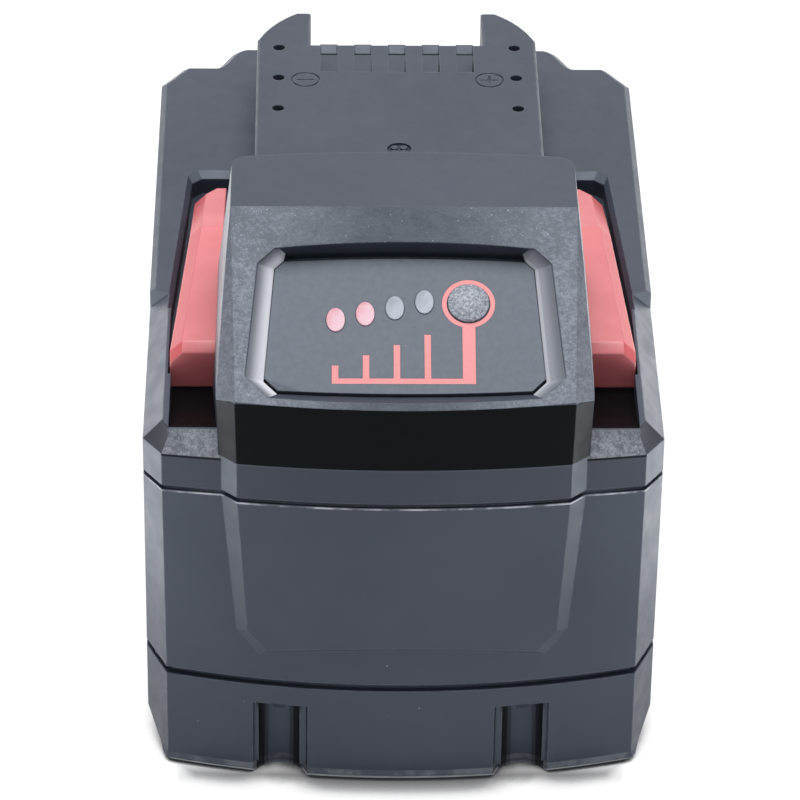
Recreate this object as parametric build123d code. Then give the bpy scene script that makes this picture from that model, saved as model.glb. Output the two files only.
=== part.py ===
from build123d import *
import math
import os

# A slide-in battery pack for cordless tools, in millimetres.
# X is the width, -Y is the face with the charge gauge, +Z is up to the tool.
# The origin is at the middle of the underside. Depths are measured back from the front.

# Driving dimensions of the whole pack, which is built round its cells
cell_diameter = 18.35
cell_length = 65.2
cell_columns = 5
cell_rows = 3
side_room = 9.25
front_room = 15.6
rear_room = 21.4
base_height = 18.3
skirt_height = 6.0
edge_bevel_height = 4.0
rail_height = 9.8
band_height = 12.2
slope_run = 31.1
slope_angle = 31.0
block_length = 48.4
wall = 2.2
floor_wall = 2.0
overrun = 1.0

# Plan of the casing, as depths from the front and runs in from the side
skirt_nose_depth = 3.0
skirt_corner_depth = 5.9
skirt_facet_depth = 10.4
skirt_corner_run = 3.1
base_nose_depth = 1.0
base_corner_depth = 6.2
base_facet_depth = 14.0
base_corner_run = 3.5
base_spread = 0.2
rear_corner_run = 3.8
rear_corner_length = 5.9
bump_depth = 6.8
bump_foot_inset = 8.6
bump_inset = 14.4

# Seams between the three housings
base_groove_height = 1.35
base_groove_depth = 0.9
top_groove_height = 0.85
top_groove_depth = 0.6
tongue_height = 2.0
tongue_thickness = 0.95
tongue_clearance = 0.1

# Raised panel on the front of the middle housing, and the gauge block above it
strip_slope = 1.08
panel_half = 26.7
panel_waist_narrowing = 1.3
panel_foot_narrowing = 4.1
panel_waist_drop = 25.4
panel_foot_drop = 28.6
block_foot_half = 31.0
block_rim_half = 30.2
block_top_half = 27.9
block_foot_flare = 1.4
block_rim_flare = 0.3
block_foot_corner_run = 2.9
block_rim_corner_run = 3.0
block_top_corner_run = 2.4
block_foot_depth = 0.45
block_foot_sag = 1.9
block_rim_sag = 1.3
block_corner_round = 3.0
block_rear_sag = 1.4
facet_outer_depth = 3.6
facet_outer_drop = 1.0
slope_roof = 5.0

# Shoulder deck and its edge bevels
deck_bevel_run = 3.3
crest_inset = 1.5
crest_depth = 7.1
crest_bow = 0.1
crest_side_depth = 9.95
rear_bevel = 1.0
notch_depth = 52.2
notch_slant = 4.3

# Slide rail, its horns and the terminal slots
rail_half = 24.65
neck_half = 21.4
flange_thickness = 3.4
flange_roof = 2.4
flange_edge = 0.4
rail_end_setback = 16.3
horn_length = 11.6
horn_inner_half = 15.2
horn_tip_half = 17.8
horn_curve_half = 21.0
horn_curve_setback = 3.1
horn_shoulder_half = 23.6
horn_shoulder_setback = 7.3
horn_side_setback = 9.9
slot_count = 5
slot_pitch = 6.0
slot_width = 2.95
slot_length = 9.8
slot_depth = 7.0
pinhole_radius = 1.05
pinhole_depth = 1.6
pinhole_half = 20.8
pinhole_pitch = 10.7
pinhole_setback = 1.2
pinhole_rows = 3
gate_radius = 2.1
gate_depth = 0.6
gate_setback = 36.4
gate_lobe_radius = 0.6
gate_lobe_reach = 0.8
gate_lobe_height = 0.45
mark_radius = 2.6
mark_line = 0.4
mark_depth = 0.3
mark_half = 16.1
mark_setback = 12.6
mark_bar_share = 0.6

# Release buttons, their wells, springs and latch hooks
well_inner_half = 26.2
well_rim = 3.75
well_narrowing = 2.6
well_front_depth = 23.2
well_straight_depth = 43.0
well_rear_depth = 86.0
well_corner = 1.6
well_lip = 0.8
well_rear_lip = 1.7
well_depth = 3.8
well_floor_gap = 0.8
well_floor_thickness = 1.6
well_inner_wall = 1.6
scoop_front_depth = 7.5
scoop_side_step = 0.5
window_head = 1.0
button_gap = 0.4
button_side_gap = 0.3
button_travel = 3.0
button_front_height = 8.3
button_crest_height = 10.4
button_crest_depth = 58.5
button_rear_height = 4.3
button_rear_gap = 5.3
button_bevel_share = 0.244
button_front_round = 1.4
button_crest_share = 0.695
button_tail_share = 0.66
button_end_share = 0.44
button_tail_corner = 3.6
button_flange_thickness = 1.2
button_flange_over = 1.2
button_flange_depth = 26.5
button_flange_setback = 6.9
button_neck_inset = 1.6
lever_depth = 56.0
lever_width = 8.0
lever_thickness = 1.0
lever_grip_share = 0.39
lever_gap = 0.3
hook_inner_half = 16.5
hook_plate = 1.2
hook_reach = 2.7
hook_tooth_drop = 1.2
hook_tooth_height = 3.4
hook_window_gap = 0.4
spring_radius = 3.0
spring_wire = 0.8
spring_turns = 6
spring_end_gap = 0.12
spring_setback = 10.4
spring_place_height = 5.9
spring_post_radius = 2.1
spring_post_length = 2.8
spring_rib_half = 15.0
spring_rib_thickness = 1.6
spring_rib_width = 10.0
spring_rib_foot = 0.8

# Charge gauge on the slope, measured up the slope from its lower edge
recess_depth = 3.0
gauge_thickness = 2.0
gauge_gap = 0.1
gauge_head_gap = 1.3
gauge_foot_gap = 0.5
gauge_bow = 0.55
gauge_low = 4.4
gauge_high = 28.45
gauge_low_half = 22.3
gauge_high_half = 20.75
gauge_low_corner = 2.15
gauge_high_corner = 1.5
gauge_head_step = 0.3
recess_low_bow = 0.9
recess_high_bow = 1.1
recess_low = 1.35
recess_high = 29.9
recess_low_half = 25.4
recess_high_half = 23.55
recess_low_corner = 3.65
recess_high_corner = 2.8
recess_head_step = 0.5
gauge_flange = 1.2
gauge_flange_lap = 1.5
lens_count = 4
lens_first_x = -11.0
lens_pitch_x = 4.72
lens_first_rise = 17.45
lens_pitch_rise = 1.07
lens_half_width = 1.5
lens_half_height = 2.1
lens_proud = 0.15
lens_collar = 0.6
lens_collar_thickness = 0.6
lens_length = 5.3
lens_gap = 0.05
ring_x = 10.2
ring_rise = 20.4
ring_radius = 4.25
ring_width = 0.75
graphic_thickness = 0.4
baseline_low = 6.2
baseline_width = 0.95
baseline_start = -11.6
bar_width = 1.05
bar_first_top = 9.4
bar_pitch_x = 4.9
bar_step = 1.83
stem_half_width = 1.04
cap_radius = 3.3
cap_gap = 0.1
cap_proud = 0.35
cap_dome = 0.75
cap_collar = 1.1
cap_collar_thickness = 0.6
cap_collar_gap = 0.3
cap_travel = 0.5
gauge_board_drop = 10.4
board_thickness = 1.6
gauge_board_half = 21.0
gauge_board_low = 5.5
gauge_board_high = 27.5
gauge_post_radius = 1.9
gauge_post_half = 18.4
gauge_post_low = 8.2
gauge_post_high = 24.8
switch_half = 3.0
switch_height = 2.0
plunger_radius = 1.3
plunger_gap = 0.05
plunger_length = 2.5
led_half_width = 0.8
led_half_height = 1.2
led_height = 1.9

# Cells and what holds and joins them
cell_clearance = 0.25
cell_crimp_depth = 0.5
cell_crimp_width = 1.6
cell_crimp_place = 3.6
cell_cap_radius = 4.0
cell_cap_height = 0.1
holder_margin = 0.6
holder_grip = 12.0
holder_end_wall = 0.8
holder_end_gap = 0.1
holder_eye_radius = 6.0
pad_thickness = 0.8
strip_thickness = 0.2
strip_width = 9.0
strip_weld_radius = 4.5
insulator_thickness = 0.5
bar_thickness = 0.4
bar_breadth = 6.0
bar_lift = 0.15
bar_drop = 2.6

# Circuit board, terminal block and contacts
board_clearance = 1.2
board_half = 18.3
board_lever_gap = 3.0
terminal_block_length = 15.9
terminal_half = 17.3
terminal_head_gap = 0.3
terminal_floor = 1.0
terminal_back_wall = 1.5
contact_leaf = 0.5
contact_mouth = 1.0
contact_base = 0.8
contact_height = 7.4
contact_length = 9.0
contact_flare = 0.35
contact_tail_half = 0.6
chip_height = 1.8
transistor_count = 4
transistor_pitch = 7.0
transistor_half_width = 2.6
transistor_length = 6.4
transistor_place_share = 0.42
chip_half = 4.5
chip_length = 5.0
chip_place_share = 0.09
board_boss_radius = 2.4
board_boss_half = 15.9
board_boss_shares = (0.31, 0.8)

# Screws and their bosses
screw_radius = 1.5
screw_clearance = 0.2
thread_gap = 0.02
screw_head_radius = 2.6
screw_head_height = 2.4
screw_seat_height = 8.0
screw_boss_radius = 3.9
screw_side_inset = 7.5
screw_boss_front_depth = 11.4
screw_boss_rear_setback = 16.3
screw_top_gap = 3.2
socket_radius = 1.3
socket_depth = 1.2
small_screw_radius = 1.0
small_screw_head_radius = 1.9
small_screw_head_height = 1.0
small_screw_length = 6.0
casing_rib_thickness = 1.6
casing_rib_gap = 0.15
casing_rib_spread = 30.0
press_rib_depth = 89.0
press_rib_length = 5.0
press_rib_inset = 0.5
press_rib_width = 9.0

# Underside of the base and the two pockets in its front
base_bevel_run = 3.3
base_bevel_height = 6.0
base_edge = 1.15
base_edge_inset = 0.6
base_lip_height = 0.9
base_lip_reach = 0.3
pocket_half = 20.1
pocket_radius = 4.8
pocket_place_depth = 1.0
pocket_roof = 3.7
pocket_backing = 2.0
pocket_outer_groove = 0.8
pocket_outer_rib = 0.65
pocket_inner_groove = 0.3
pocket_inner_rib = 1.1
pocket_rib_setback = 0.4
pocket_rib_depth = 1.4
pocket_rib_foot = 2.3
pocket_tab_radius = 1.1
pocket_tab_height = 0.8

# The block of cells, and the casing's size round it
cell_pitch = cell_diameter + cell_clearance
holder_length = cell_columns * cell_pitch + 2 * holder_margin
holder_height = cell_rows * cell_pitch + 2 * holder_margin
holder_low = floor_wall + pad_thickness
holder_top = holder_low + holder_height
holder_end = cell_length / 2 + holder_end_gap + holder_end_wall
strip_face = holder_end + strip_thickness
insulator_face = strip_face + insulator_thickness
half_width = cell_length / 2 + side_room
body_width = 2 * half_width
body_length = front_room + holder_length + rear_room
front = -body_length / 2
rear = body_length / 2
holder_front = front + front_room
holder_rear = holder_front + holder_length

# Levels, from the top of the cells up
well_floor_level = holder_top + well_floor_gap + well_floor_thickness
deck_level = well_floor_level + well_depth
edge_level = deck_level - edge_bevel_height
middle_top = edge_level - skirt_height
plateau_level = deck_level + rail_height
rim_level = edge_level + band_height
slope = math.radians(slope_angle)
block_top = rim_level + slope_run * math.tan(slope)
flange_level = plateau_level - flange_thickness
ceiling_level = plateau_level - flange_roof
deck_underside = deck_level - wall
window_level = well_floor_level + button_crest_height + window_head
spring_level = well_floor_level + spring_place_height
board_level = holder_top + board_clearance
board_top = board_level + board_thickness
screw_end_level = deck_underside - screw_top_gap
pocket_height = base_height - pocket_roof

# Places across the pack
well_front_half = half_width - well_rim
well_rear_half = well_front_half - well_narrowing
scoop_outer_half = well_front_half - scoop_side_step
button_inner_half = well_inner_half + button_travel + button_gap
button_outer_half = well_front_half - button_side_gap
button_width = button_outer_half - button_inner_half
button_bevel = button_width * button_bevel_share
lever_grip = button_width * lever_grip_share
button_low = well_floor_level + lever_gap
screw_boss_half = half_width - screw_side_inset

# Places along the pack, as depths from the front
rail_end_depth = body_length - rail_end_setback
horn_end_depth = rail_end_depth + horn_length
terminal_front_depth = rail_end_depth - terminal_block_length
board_front_depth = lever_depth + lever_width + board_lever_gap
board_free_length = terminal_front_depth - board_front_depth
spring_place_depth = block_length - spring_setback
screw_boss_rear_depth = body_length - screw_boss_rear_setback

# The slope's own plane: X across, Y up the slope, Z straight out of it
slope_plane = Plane(
    origin=(0, front, rim_level),
    x_dir=(1, 0, 0),
    z_dir=(0, -math.sin(slope), math.cos(slope)),
)


# Small helpers

def slab(x_range, y_range, z_range):
    """A block between three pairs of limits."""
    ranges = (x_range, y_range, z_range)
    size = [high - low for low, high in ranges]
    centre = [(high + low) / 2 for low, high in ranges]
    return Pos(*centre) * Box(*size)


def rod(x, y, z_low, z_high, radius):
    """An upright cylinder."""
    return Pos(x, y, (z_low + z_high) / 2) * Cylinder(radius, z_high - z_low)


def polygon(points):
    """A flat face through the given corners."""
    return make_face(Polyline(*points, close=True))


def outline_face(edges):
    """A flat face inside a closed chain of edges."""
    return Face(Wire(edges))


def raised(face, level):
    """The same face at another height."""
    return Pos(0, 0, level) * face


def upright(face, low, high):
    """A prism from a plan face, between two heights."""
    return extrude(raised(face, low), high - low, dir=(0, 0, 1))


def across(points, x_low, x_high):
    """A prism along X from a side profile of (y, z) corners."""
    face = Plane.YZ.offset(x_low) * polygon(points)
    return extrude(face, x_high - x_low, dir=(1, 0, 0))


def station(points, y):
    """A face of (x, z) corners, standing at one place along Y."""
    plane = Plane(origin=(0, y, 0), x_dir=(1, 0, 0), z_dir=(0, -1, 0))
    return plane * polygon(points)


def on_slope(shape, x, rise, drop):
    """A shape made about the origin, set on the slope and sunk below its surface."""
    return slope_plane * Pos(x, rise, -drop) * shape


def slope_rod(x, rise, drop_top, drop_foot, radius):
    """A cylinder square to the slope, between two distances below its surface."""
    length = drop_foot - drop_top
    return on_slope(Cylinder(radius, length), x, rise, (drop_top + drop_foot) / 2)


def slope_slab(x_range, rise_range, drop_range):
    """A block square to the slope."""
    drops = (-drop_range[1], -drop_range[0])
    return slope_plane * slab(x_range, rise_range, drops)


def slope_prism(outline, drop_top, drop_foot):
    """A prism square to the slope from a flat outline."""
    face = slope_plane * Pos(0, 0, -drop_foot) * outline
    return extrude(face, drop_foot - drop_top, dir=slope_plane.z_dir)


def flipped(shape):
    """The same shape on the other side of the pack."""
    return mirror(shape, about=Plane.YZ)


def both_sides(shape):
    """The shape and its mirror image."""
    return shape + flipped(shape)


# Plans shared by the housings

def casing_plan(half, nose, corner, facet, corner_run, inset=0):
    """Plan of the casing: bowed front, cut corners, and a bump at the rear."""
    side = half - inset
    corner_x = half - corner_run - inset
    corner_y = front + corner + inset
    shelf_y = rear - bump_depth - inset
    rear_y = rear - inset
    foot_x = half_width - bump_foot_inset - inset
    bump_x = half_width - bump_inset - inset
    middle_x = (foot_x + bump_x) / 2
    right = [
        (corner_x, corner_y),
        (side, front + facet + inset),
        (side, shelf_y - rear_corner_length),
        (side - rear_corner_run, shelf_y),
        (foot_x, shelf_y),
    ]
    left = [(-x, y) for x, y in reversed(right)]
    edges = [
        ThreePointArc((-corner_x, corner_y), (0, front + nose + inset), (corner_x, corner_y)),
    ]
    edges += [Line(a, b) for a, b in zip(right, right[1:])]
    edges += [
        Bezier((foot_x, shelf_y), (middle_x, shelf_y), (middle_x, rear_y), (bump_x, rear_y)),
        Line((bump_x, rear_y), (-bump_x, rear_y)),
        Bezier((-bump_x, rear_y), (-middle_x, rear_y), (-middle_x, shelf_y), (-foot_x, shelf_y)),
    ]
    edges += [Line(a, b) for a, b in zip(left, left[1:])]
    return outline_face(edges)


def skirt_plan(inset=0):
    """Casing plan at the seam between the middle and top housings."""
    return casing_plan(
        half_width, skirt_nose_depth, skirt_corner_depth, skirt_facet_depth, skirt_corner_run, inset
    )


def base_plan(inset=0):
    """Casing plan at the seam between the middle and bottom housings."""
    return casing_plan(
        half_width + base_spread, base_nose_depth, base_corner_depth, base_facet_depth,
        base_corner_run, inset,
    )


def block_plan(half, flare, corner_run, nose, sag, inset=0):
    """Plan of the gauge block: bowed front, cut front corners, round rear corners."""
    side = half - inset
    front_side = side - flare
    corner_x = front_side - corner_run
    nose_y = front + nose + inset
    corner_y = nose_y + sag
    facet_y = corner_y + corner_run / strip_slope
    flare_y = front + well_front_depth
    rear_y = front + block_length - inset
    end_y = rear_y - block_rear_sag
    turn_x = side - block_corner_round
    turn_y = end_y - block_corner_round
    return outline_face([
        ThreePointArc((-corner_x, corner_y), (0, nose_y), (corner_x, corner_y)),
        Line((corner_x, corner_y), (front_side, facet_y)),
        Line((front_side, facet_y), (side, flare_y)),
        Line((side, flare_y), (side, turn_y)),
        RadiusArc((side, turn_y), (turn_x, end_y), -block_corner_round),
        ThreePointArc((turn_x, end_y), (0, rear_y), (-turn_x, end_y)),
        RadiusArc((-turn_x, end_y), (-side, turn_y), -block_corner_round),
        Line((-side, turn_y), (-side, flare_y)),
        Line((-side, flare_y), (-front_side, facet_y)),
        Line((-front_side, facet_y), (-corner_x, corner_y)),
    ])


def block_foot_plan(inset=0):
    """Plan of the gauge block at the height of the shoulder's edge."""
    return block_plan(
        block_foot_half, block_foot_flare, block_foot_corner_run, block_foot_depth, block_foot_sag,
        inset,
    )


def seam_ring(outer_inset, low, high):
    """The tongue that lines up two housings, or the groove cut for it."""
    return upright(skirt_plan(outer_inset), low, high)


tongue_inset = wall - tongue_thickness
inner_plan = skirt_plan(wall)


# Housing details

def screw_places():
    """Centres of the four long case screws."""
    depths = (screw_boss_front_depth, screw_boss_rear_depth)
    return [(x, front + depth) for x in (-screw_boss_half, screw_boss_half) for depth in depths]


def board_boss_places():
    """Centres of the four bosses that carry the circuit board."""
    start = front + board_front_depth
    places = [start + share * board_free_length for share in board_boss_shares]
    return [(x, y) for x in (-board_boss_half, board_boss_half) for y in places]


def front_pocket(x):
    """The upright hollow in the front of the base."""
    y = front + pocket_place_depth
    return rod(x, y, -overrun, pocket_height, pocket_radius)


def pocket_trim():
    """Two thin ribs and a round tab inside the front of the right pocket."""
    height = (pocket_rib_foot, pocket_height)
    depth = (front - overrun, front + pocket_place_depth + pocket_radius)
    outer_x = pocket_half + pocket_radius - pocket_outer_groove
    inner_x = pocket_half - pocket_radius + pocket_inner_groove
    ribs = slab((outer_x - pocket_outer_rib, outer_x), depth, height)
    ribs += slab((inner_x, inner_x + pocket_inner_rib), depth, height)
    layer = upright(base_plan(pocket_rib_setback), *height)
    layer -= upright(base_plan(pocket_rib_setback + pocket_rib_depth), 0, base_height)
    y = front + pocket_place_depth + pocket_rib_depth
    tab = rod(pocket_half, y, pocket_height - pocket_tab_height, pocket_height, pocket_tab_radius)
    return (ribs & layer) + tab


def lower_bevel(inset=0):
    """What the slanted lower side takes off the base, or leaves inside it when inset."""
    steepness = math.atan(base_bevel_run / base_bevel_height)
    side = half_width + base_spread - inset / math.cos(steepness)
    bevel = station(
        [
            (side - base_bevel_run, 0),
            (side + body_width, 0),
            (side + body_width, base_bevel_height),
            (side, base_bevel_height),
        ],
        front - overrun,
    )
    return extrude(bevel, body_length + 2 * overrun, dir=(0, 1, 0))


def make_bottom_housing():
    """The tray under the cells, with its pockets and screw bosses."""
    foot_plan = base_plan(base_edge_inset)
    tray = loft([foot_plan, raised(base_plan(), base_edge)], ruled=True)
    tray += upright(base_plan(), base_edge, base_height)
    lip_top = base_edge + base_lip_height
    lip_plan = raised(base_plan(-base_lip_reach), base_edge)
    lip = loft([foot_plan, lip_plan], ruled=True)
    lip += loft([lip_plan, raised(base_plan(), lip_top)], ruled=True)
    tray += lip & slab((-body_width, body_width), (front - overrun, 0), (0, lip_top))
    tray -= both_sides(lower_bevel())
    outer = tray
    tray -= upright(inner_plan, floor_wall, base_height + overrun) - both_sides(lower_bevel(wall))
    backing = Part()
    for x in (-pocket_half, pocket_half):
        y = front + pocket_place_depth
        backing += rod(x, y, 0, pocket_height + pocket_backing, pocket_radius + pocket_backing)
    bosses = Part()
    for x, y in screw_places():
        bosses += rod(x, y, 0, base_height, screw_boss_radius)
    tray += backing & outer
    tray += bosses & outer
    for x in (-pocket_half, pocket_half):
        tray -= front_pocket(x)
    tray += both_sides(pocket_trim() & (outer & front_pocket(pocket_half)))
    for x, y in screw_places():
        tray -= rod(x, y, -overrun, screw_seat_height, screw_head_radius + screw_clearance)
        tray -= rod(x, y, 0, base_height + overrun, screw_radius + screw_clearance)
    rebate_low = base_height - tongue_height - tongue_clearance
    rebate = seam_ring(tongue_inset - tongue_clearance, rebate_low, base_height + overrun)
    rebate -= seam_ring(wall, rebate_low - overrun, base_height + 2 * overrun)
    return tray - rebate


def raised_front_panel():
    """The raised panel on the front, with its slanted sides fading out below."""
    nose_y = front + block_foot_depth
    sag_growth = block_foot_sag * strip_slope
    levels = (middle_top, middle_top - panel_waist_drop, middle_top - panel_foot_drop)
    halves = (
        panel_half - sag_growth,
        panel_half - panel_waist_narrowing - sag_growth,
        panel_half - panel_foot_narrowing - sag_growth,
    )
    growth = strip_slope * (skirt_nose_depth + wall)

    def corners(spread):
        drop = spread * math.tan(math.pi / 8)
        right = [
            (halves[0] + spread, levels[0]),
            (halves[1] + spread, levels[1] - drop),
            (halves[2] + spread, levels[2] - spread),
        ]
        return right + [(-x, z) for x, z in reversed(right)]

    near = station(corners(0), nose_y)
    far = station(corners(growth), nose_y + skirt_nose_depth + wall)
    panel = loft([near, far], ruled=True)
    bow = outline_face([
        ThreePointArc(
            (-panel_half, nose_y + block_foot_sag), (0, nose_y), (panel_half, nose_y + block_foot_sag)
        ),
        Line((panel_half, nose_y + block_foot_sag), (half_width, nose_y + block_foot_sag)),
        Line((half_width, nose_y + block_foot_sag), (half_width, 0)),
        Line((half_width, 0), (-half_width, 0)),
        Line((-half_width, 0), (-half_width, nose_y + block_foot_sag)),
        Line((-half_width, nose_y + block_foot_sag), (-panel_half, nose_y + block_foot_sag)),
    ])
    return panel & upright(bow, base_height, middle_top)


def make_middle_housing():
    """The tall ring round the cells."""
    groove_top = base_height + base_groove_height
    seam_low = middle_top - top_groove_height
    share = (seam_low - groove_top) / (middle_top - groove_top)
    lean = share * (skirt_nose_depth - base_nose_depth)
    ring = loft(
        [raised(base_plan(), groove_top), raised(skirt_plan(), middle_top)], ruled=True
    )
    ring += raised_front_panel()
    top_groove = upright(base_plan(-overrun), seam_low, middle_top + overrun)
    top_groove -= upright(
        casing_plan(
            half_width - top_groove_depth, base_nose_depth + lean, skirt_corner_depth + top_groove_depth,
            skirt_facet_depth + top_groove_depth, skirt_corner_run,
        ),
        seam_low - overrun, middle_top + 2 * overrun,
    )
    top_groove -= upright(
        block_foot_plan(top_groove_depth), seam_low - overrun, middle_top + 2 * overrun
    )
    ring -= top_groove
    ring += upright(base_plan(base_groove_depth), base_height, groove_top + base_groove_depth)
    outer = ring
    ring -= upright(inner_plan, base_height - overrun, middle_top + overrun)
    half_web = casing_rib_thickness / 2
    bosses = Part()
    for x, y in screw_places():
        bosses += rod(x, y, base_height, middle_top, screw_boss_radius)
        web = (half_width - wall / 2, screw_boss_half)
        web = slab(sorted(web), (y - half_web, y + half_web), (base_height, middle_top))
        bosses += web if x > 0 else flipped(web)
    ring += bosses & outer
    ring += casing_ribs()
    tongues = seam_ring(tongue_inset, base_height - tongue_height, middle_top + tongue_height)
    tongues -= upright(inner_plan, base_height - 2 * tongue_height, middle_top + 2 * tongue_height)
    ring += tongues
    for x, y in screw_places():
        ring -= rod(x, y, base_height - overrun, middle_top + overrun, screw_radius + screw_clearance)
    return ring


def casing_ribs():
    """Upright ribs inside the middle housing that stop the cell block from moving."""
    low = base_height + wall
    high = middle_top - wall
    centre_y = (holder_front + holder_rear) / 2
    half_rib = casing_rib_thickness / 2
    inner_x = insulator_face + casing_rib_gap
    ribs = Part()
    for step in (-1, 0, 1):
        y = centre_y + step * casing_rib_spread
        side_rib = slab((inner_x, half_width - wall / 2), (y - half_rib, y + half_rib), (low, high))
        ribs += both_sides(side_rib)
    front_y = front + skirt_corner_depth
    grip_x = holder_end - holder_grip + casing_rib_thickness
    rear_rib = slab(
        (grip_x - half_rib, grip_x + half_rib),
        (holder_rear + casing_rib_gap, rear - wall / 2),
        (low, high),
    )
    front_rib = slab(
        (grip_x - half_rib, grip_x + half_rib),
        (front_y, holder_front - casing_rib_gap),
        (low, high),
    )
    return ribs + both_sides(rear_rib + front_rib)


# Top housing

def shoulder_solid():
    """Skirt and shoulder deck, with wide bevels in front and narrow ones behind."""
    skirt = upright(skirt_plan(), middle_top, edge_level)
    corner_x = half_width - skirt_corner_run
    notch_y = front + notch_depth
    crest_x = corner_x - crest_inset
    low = [
        (corner_x, front + skirt_corner_depth),
        (half_width, front + skirt_facet_depth),
        (half_width, notch_y),
    ]
    high = [
        (crest_x, front + crest_depth),
        (half_width - deck_bevel_run, front + crest_side_depth),
        (half_width - deck_bevel_run, notch_y),
    ]

    def ring_face(points, nose_y, level):
        left = [(-x, y) for x, y in reversed(points)]
        edges = [ThreePointArc(left[-1], (0, nose_y), points[0])]
        edges += [Line(a, b) for a, b in zip(points, points[1:])]
        edges += [Line(points[-1], left[0])]
        edges += [Line(a, b) for a, b in zip(left, left[1:])]
        return raised(outline_face(edges), level)

    front_deck = loft(
        [
            ring_face(low, front + skirt_nose_depth, edge_level),
            ring_face(high, front + crest_depth - crest_bow, deck_level),
        ],
        ruled=True,
    )
    bevel_level = deck_level - rear_bevel
    rear_deck = upright(skirt_plan(), edge_level, bevel_level)
    rear_deck += loft(
        [raised(skirt_plan(), bevel_level), raised(skirt_plan(rear_bevel), deck_level)],
        ruled=True,
    )
    cut_front = across(
        [
            (front - overrun, middle_top),
            (front - overrun, deck_level + overrun),
            (notch_y, deck_level + overrun),
            (notch_y, middle_top),
        ],
        -body_width, body_width,
    )
    side_x = half_width + overrun
    inner_x = half_width - deck_bevel_run
    slant = polygon([
        (inner_x, notch_y - notch_slant),
        (side_x, notch_y - notch_slant / 2),
        (side_x, notch_y + overrun),
        (inner_x, notch_y + overrun),
    ])
    slant = upright(slant, edge_level, deck_level + overrun)
    rear_part = rear_deck - cut_front
    infill = (rear_deck & both_sides(slant)) & cut_front
    return skirt + front_deck + rear_part + infill


def well_plan_points(grow=0, rear_grow=0):
    """Corners of a release button's well, on the right side."""
    rear_y = front + well_rear_depth + rear_grow
    straight_y = front + well_straight_depth
    front_x = well_front_half + grow
    rear_x = well_rear_half + grow
    lean = (front_x - rear_x) * well_corner / (well_rear_depth - well_straight_depth)
    return [
        (well_inner_half, front + well_front_depth),
        (front_x, front + well_front_depth),
        (front_x, straight_y),
        (rear_x + lean, rear_y - well_corner),
        (rear_x - well_corner, rear_y),
        (well_inner_half, rear_y),
    ]


def well_cut():
    """The well that a release button moves in, with its flared lip."""
    plan = polygon(well_plan_points())
    hollow = upright(plan, well_floor_level, deck_level + overrun)
    flare = loft(
        [
            raised(polygon(well_plan_points()), deck_level - well_lip),
            raised(polygon(well_plan_points(well_lip, well_rear_lip)), deck_level),
        ],
        ruled=True,
    )
    flare &= slab(
        (well_inner_half, half_width),
        (front + well_straight_depth, rear),
        (well_floor_level, deck_level + overrun),
    )
    return hollow + flare


def scoop_cut():
    """The concave thumb scoop in front of a release button."""
    start = (front + scoop_front_depth, deck_level)
    run = well_front_depth + overrun - scoop_front_depth
    drop = deck_level - well_floor_level
    end = (start[0] + run, well_floor_level)
    radius = (run ** 2 + drop ** 2) / (2 * drop)
    sweep_angle = math.asin(run / radius) / 2
    middle = (
        end[0] - radius * math.sin(sweep_angle),
        end[1] + radius * (1 - math.cos(sweep_angle)),
    )
    top = deck_level + rail_height
    face = outline_face([
        ThreePointArc(start, middle, end),
        Line(end, (end[0], top)),
        Line((end[0], top), (start[0], top)),
        Line((start[0], top), start),
    ])
    face = Plane.YZ.offset(well_inner_half) * face
    return extrude(face, scoop_outer_half - well_inner_half, dir=(1, 0, 0))


def block_solid(inset=0, slope_skin=0, top_skin=0):
    """The gauge block, or its hollow when the skins are given."""
    tip_nose = block_foot_depth * (1 - (block_top - edge_level) / band_height)
    foot = block_foot_plan(inset)
    rim = block_plan(block_rim_half, block_rim_flare, block_rim_corner_run, 0, block_rim_sag, inset)
    tip = block_plan(
        block_top_half, block_rim_flare, block_top_corner_run, tip_nose, block_rim_sag, inset
    )
    solid = upright(foot, middle_top, edge_level)
    solid += loft([raised(foot, edge_level), raised(rim, rim_level)], ruled=True)
    solid += loft([raised(rim, rim_level), raised(tip, block_top)], ruled=True)
    skin = slope_skin / math.cos(slope)
    nose_y = front - block_length
    nose_z = rim_level + (nose_y - front) * math.tan(slope) - skin
    top_z = block_top - top_skin
    crest_y = front + (top_z - rim_level + skin) / math.tan(slope)
    side = across(
        [
            (nose_y, base_height),
            (nose_y, nose_z),
            (crest_y, top_z),
            (rear, top_z),
            (rear, base_height),
        ],
        -half_width, half_width,
    )
    return solid & side


def block_facet():
    """The slab beyond the slanting facet that runs down each side of the slope."""
    crest = Vector(block_top_half, front + slope_run, block_top)
    side = block_rim_half - block_rim_flare
    inner = Vector(
        side - block_rim_corner_run,
        front + block_rim_sag,
        rim_level + block_rim_sag * math.tan(slope),
    )
    outer = Vector(side, front + facet_outer_depth, rim_level - facet_outer_drop)
    normal = (outer - inner).cross(crest - inner).normalized()
    if normal.Z < 0:
        normal = normal * -1
    plane = Plane(origin=inner, x_dir=(crest - inner).normalized(), z_dir=normal)
    size = 2 * block_length
    return plane * Pos(0, 0, block_length / 2) * Box(size, size, block_length)


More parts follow.
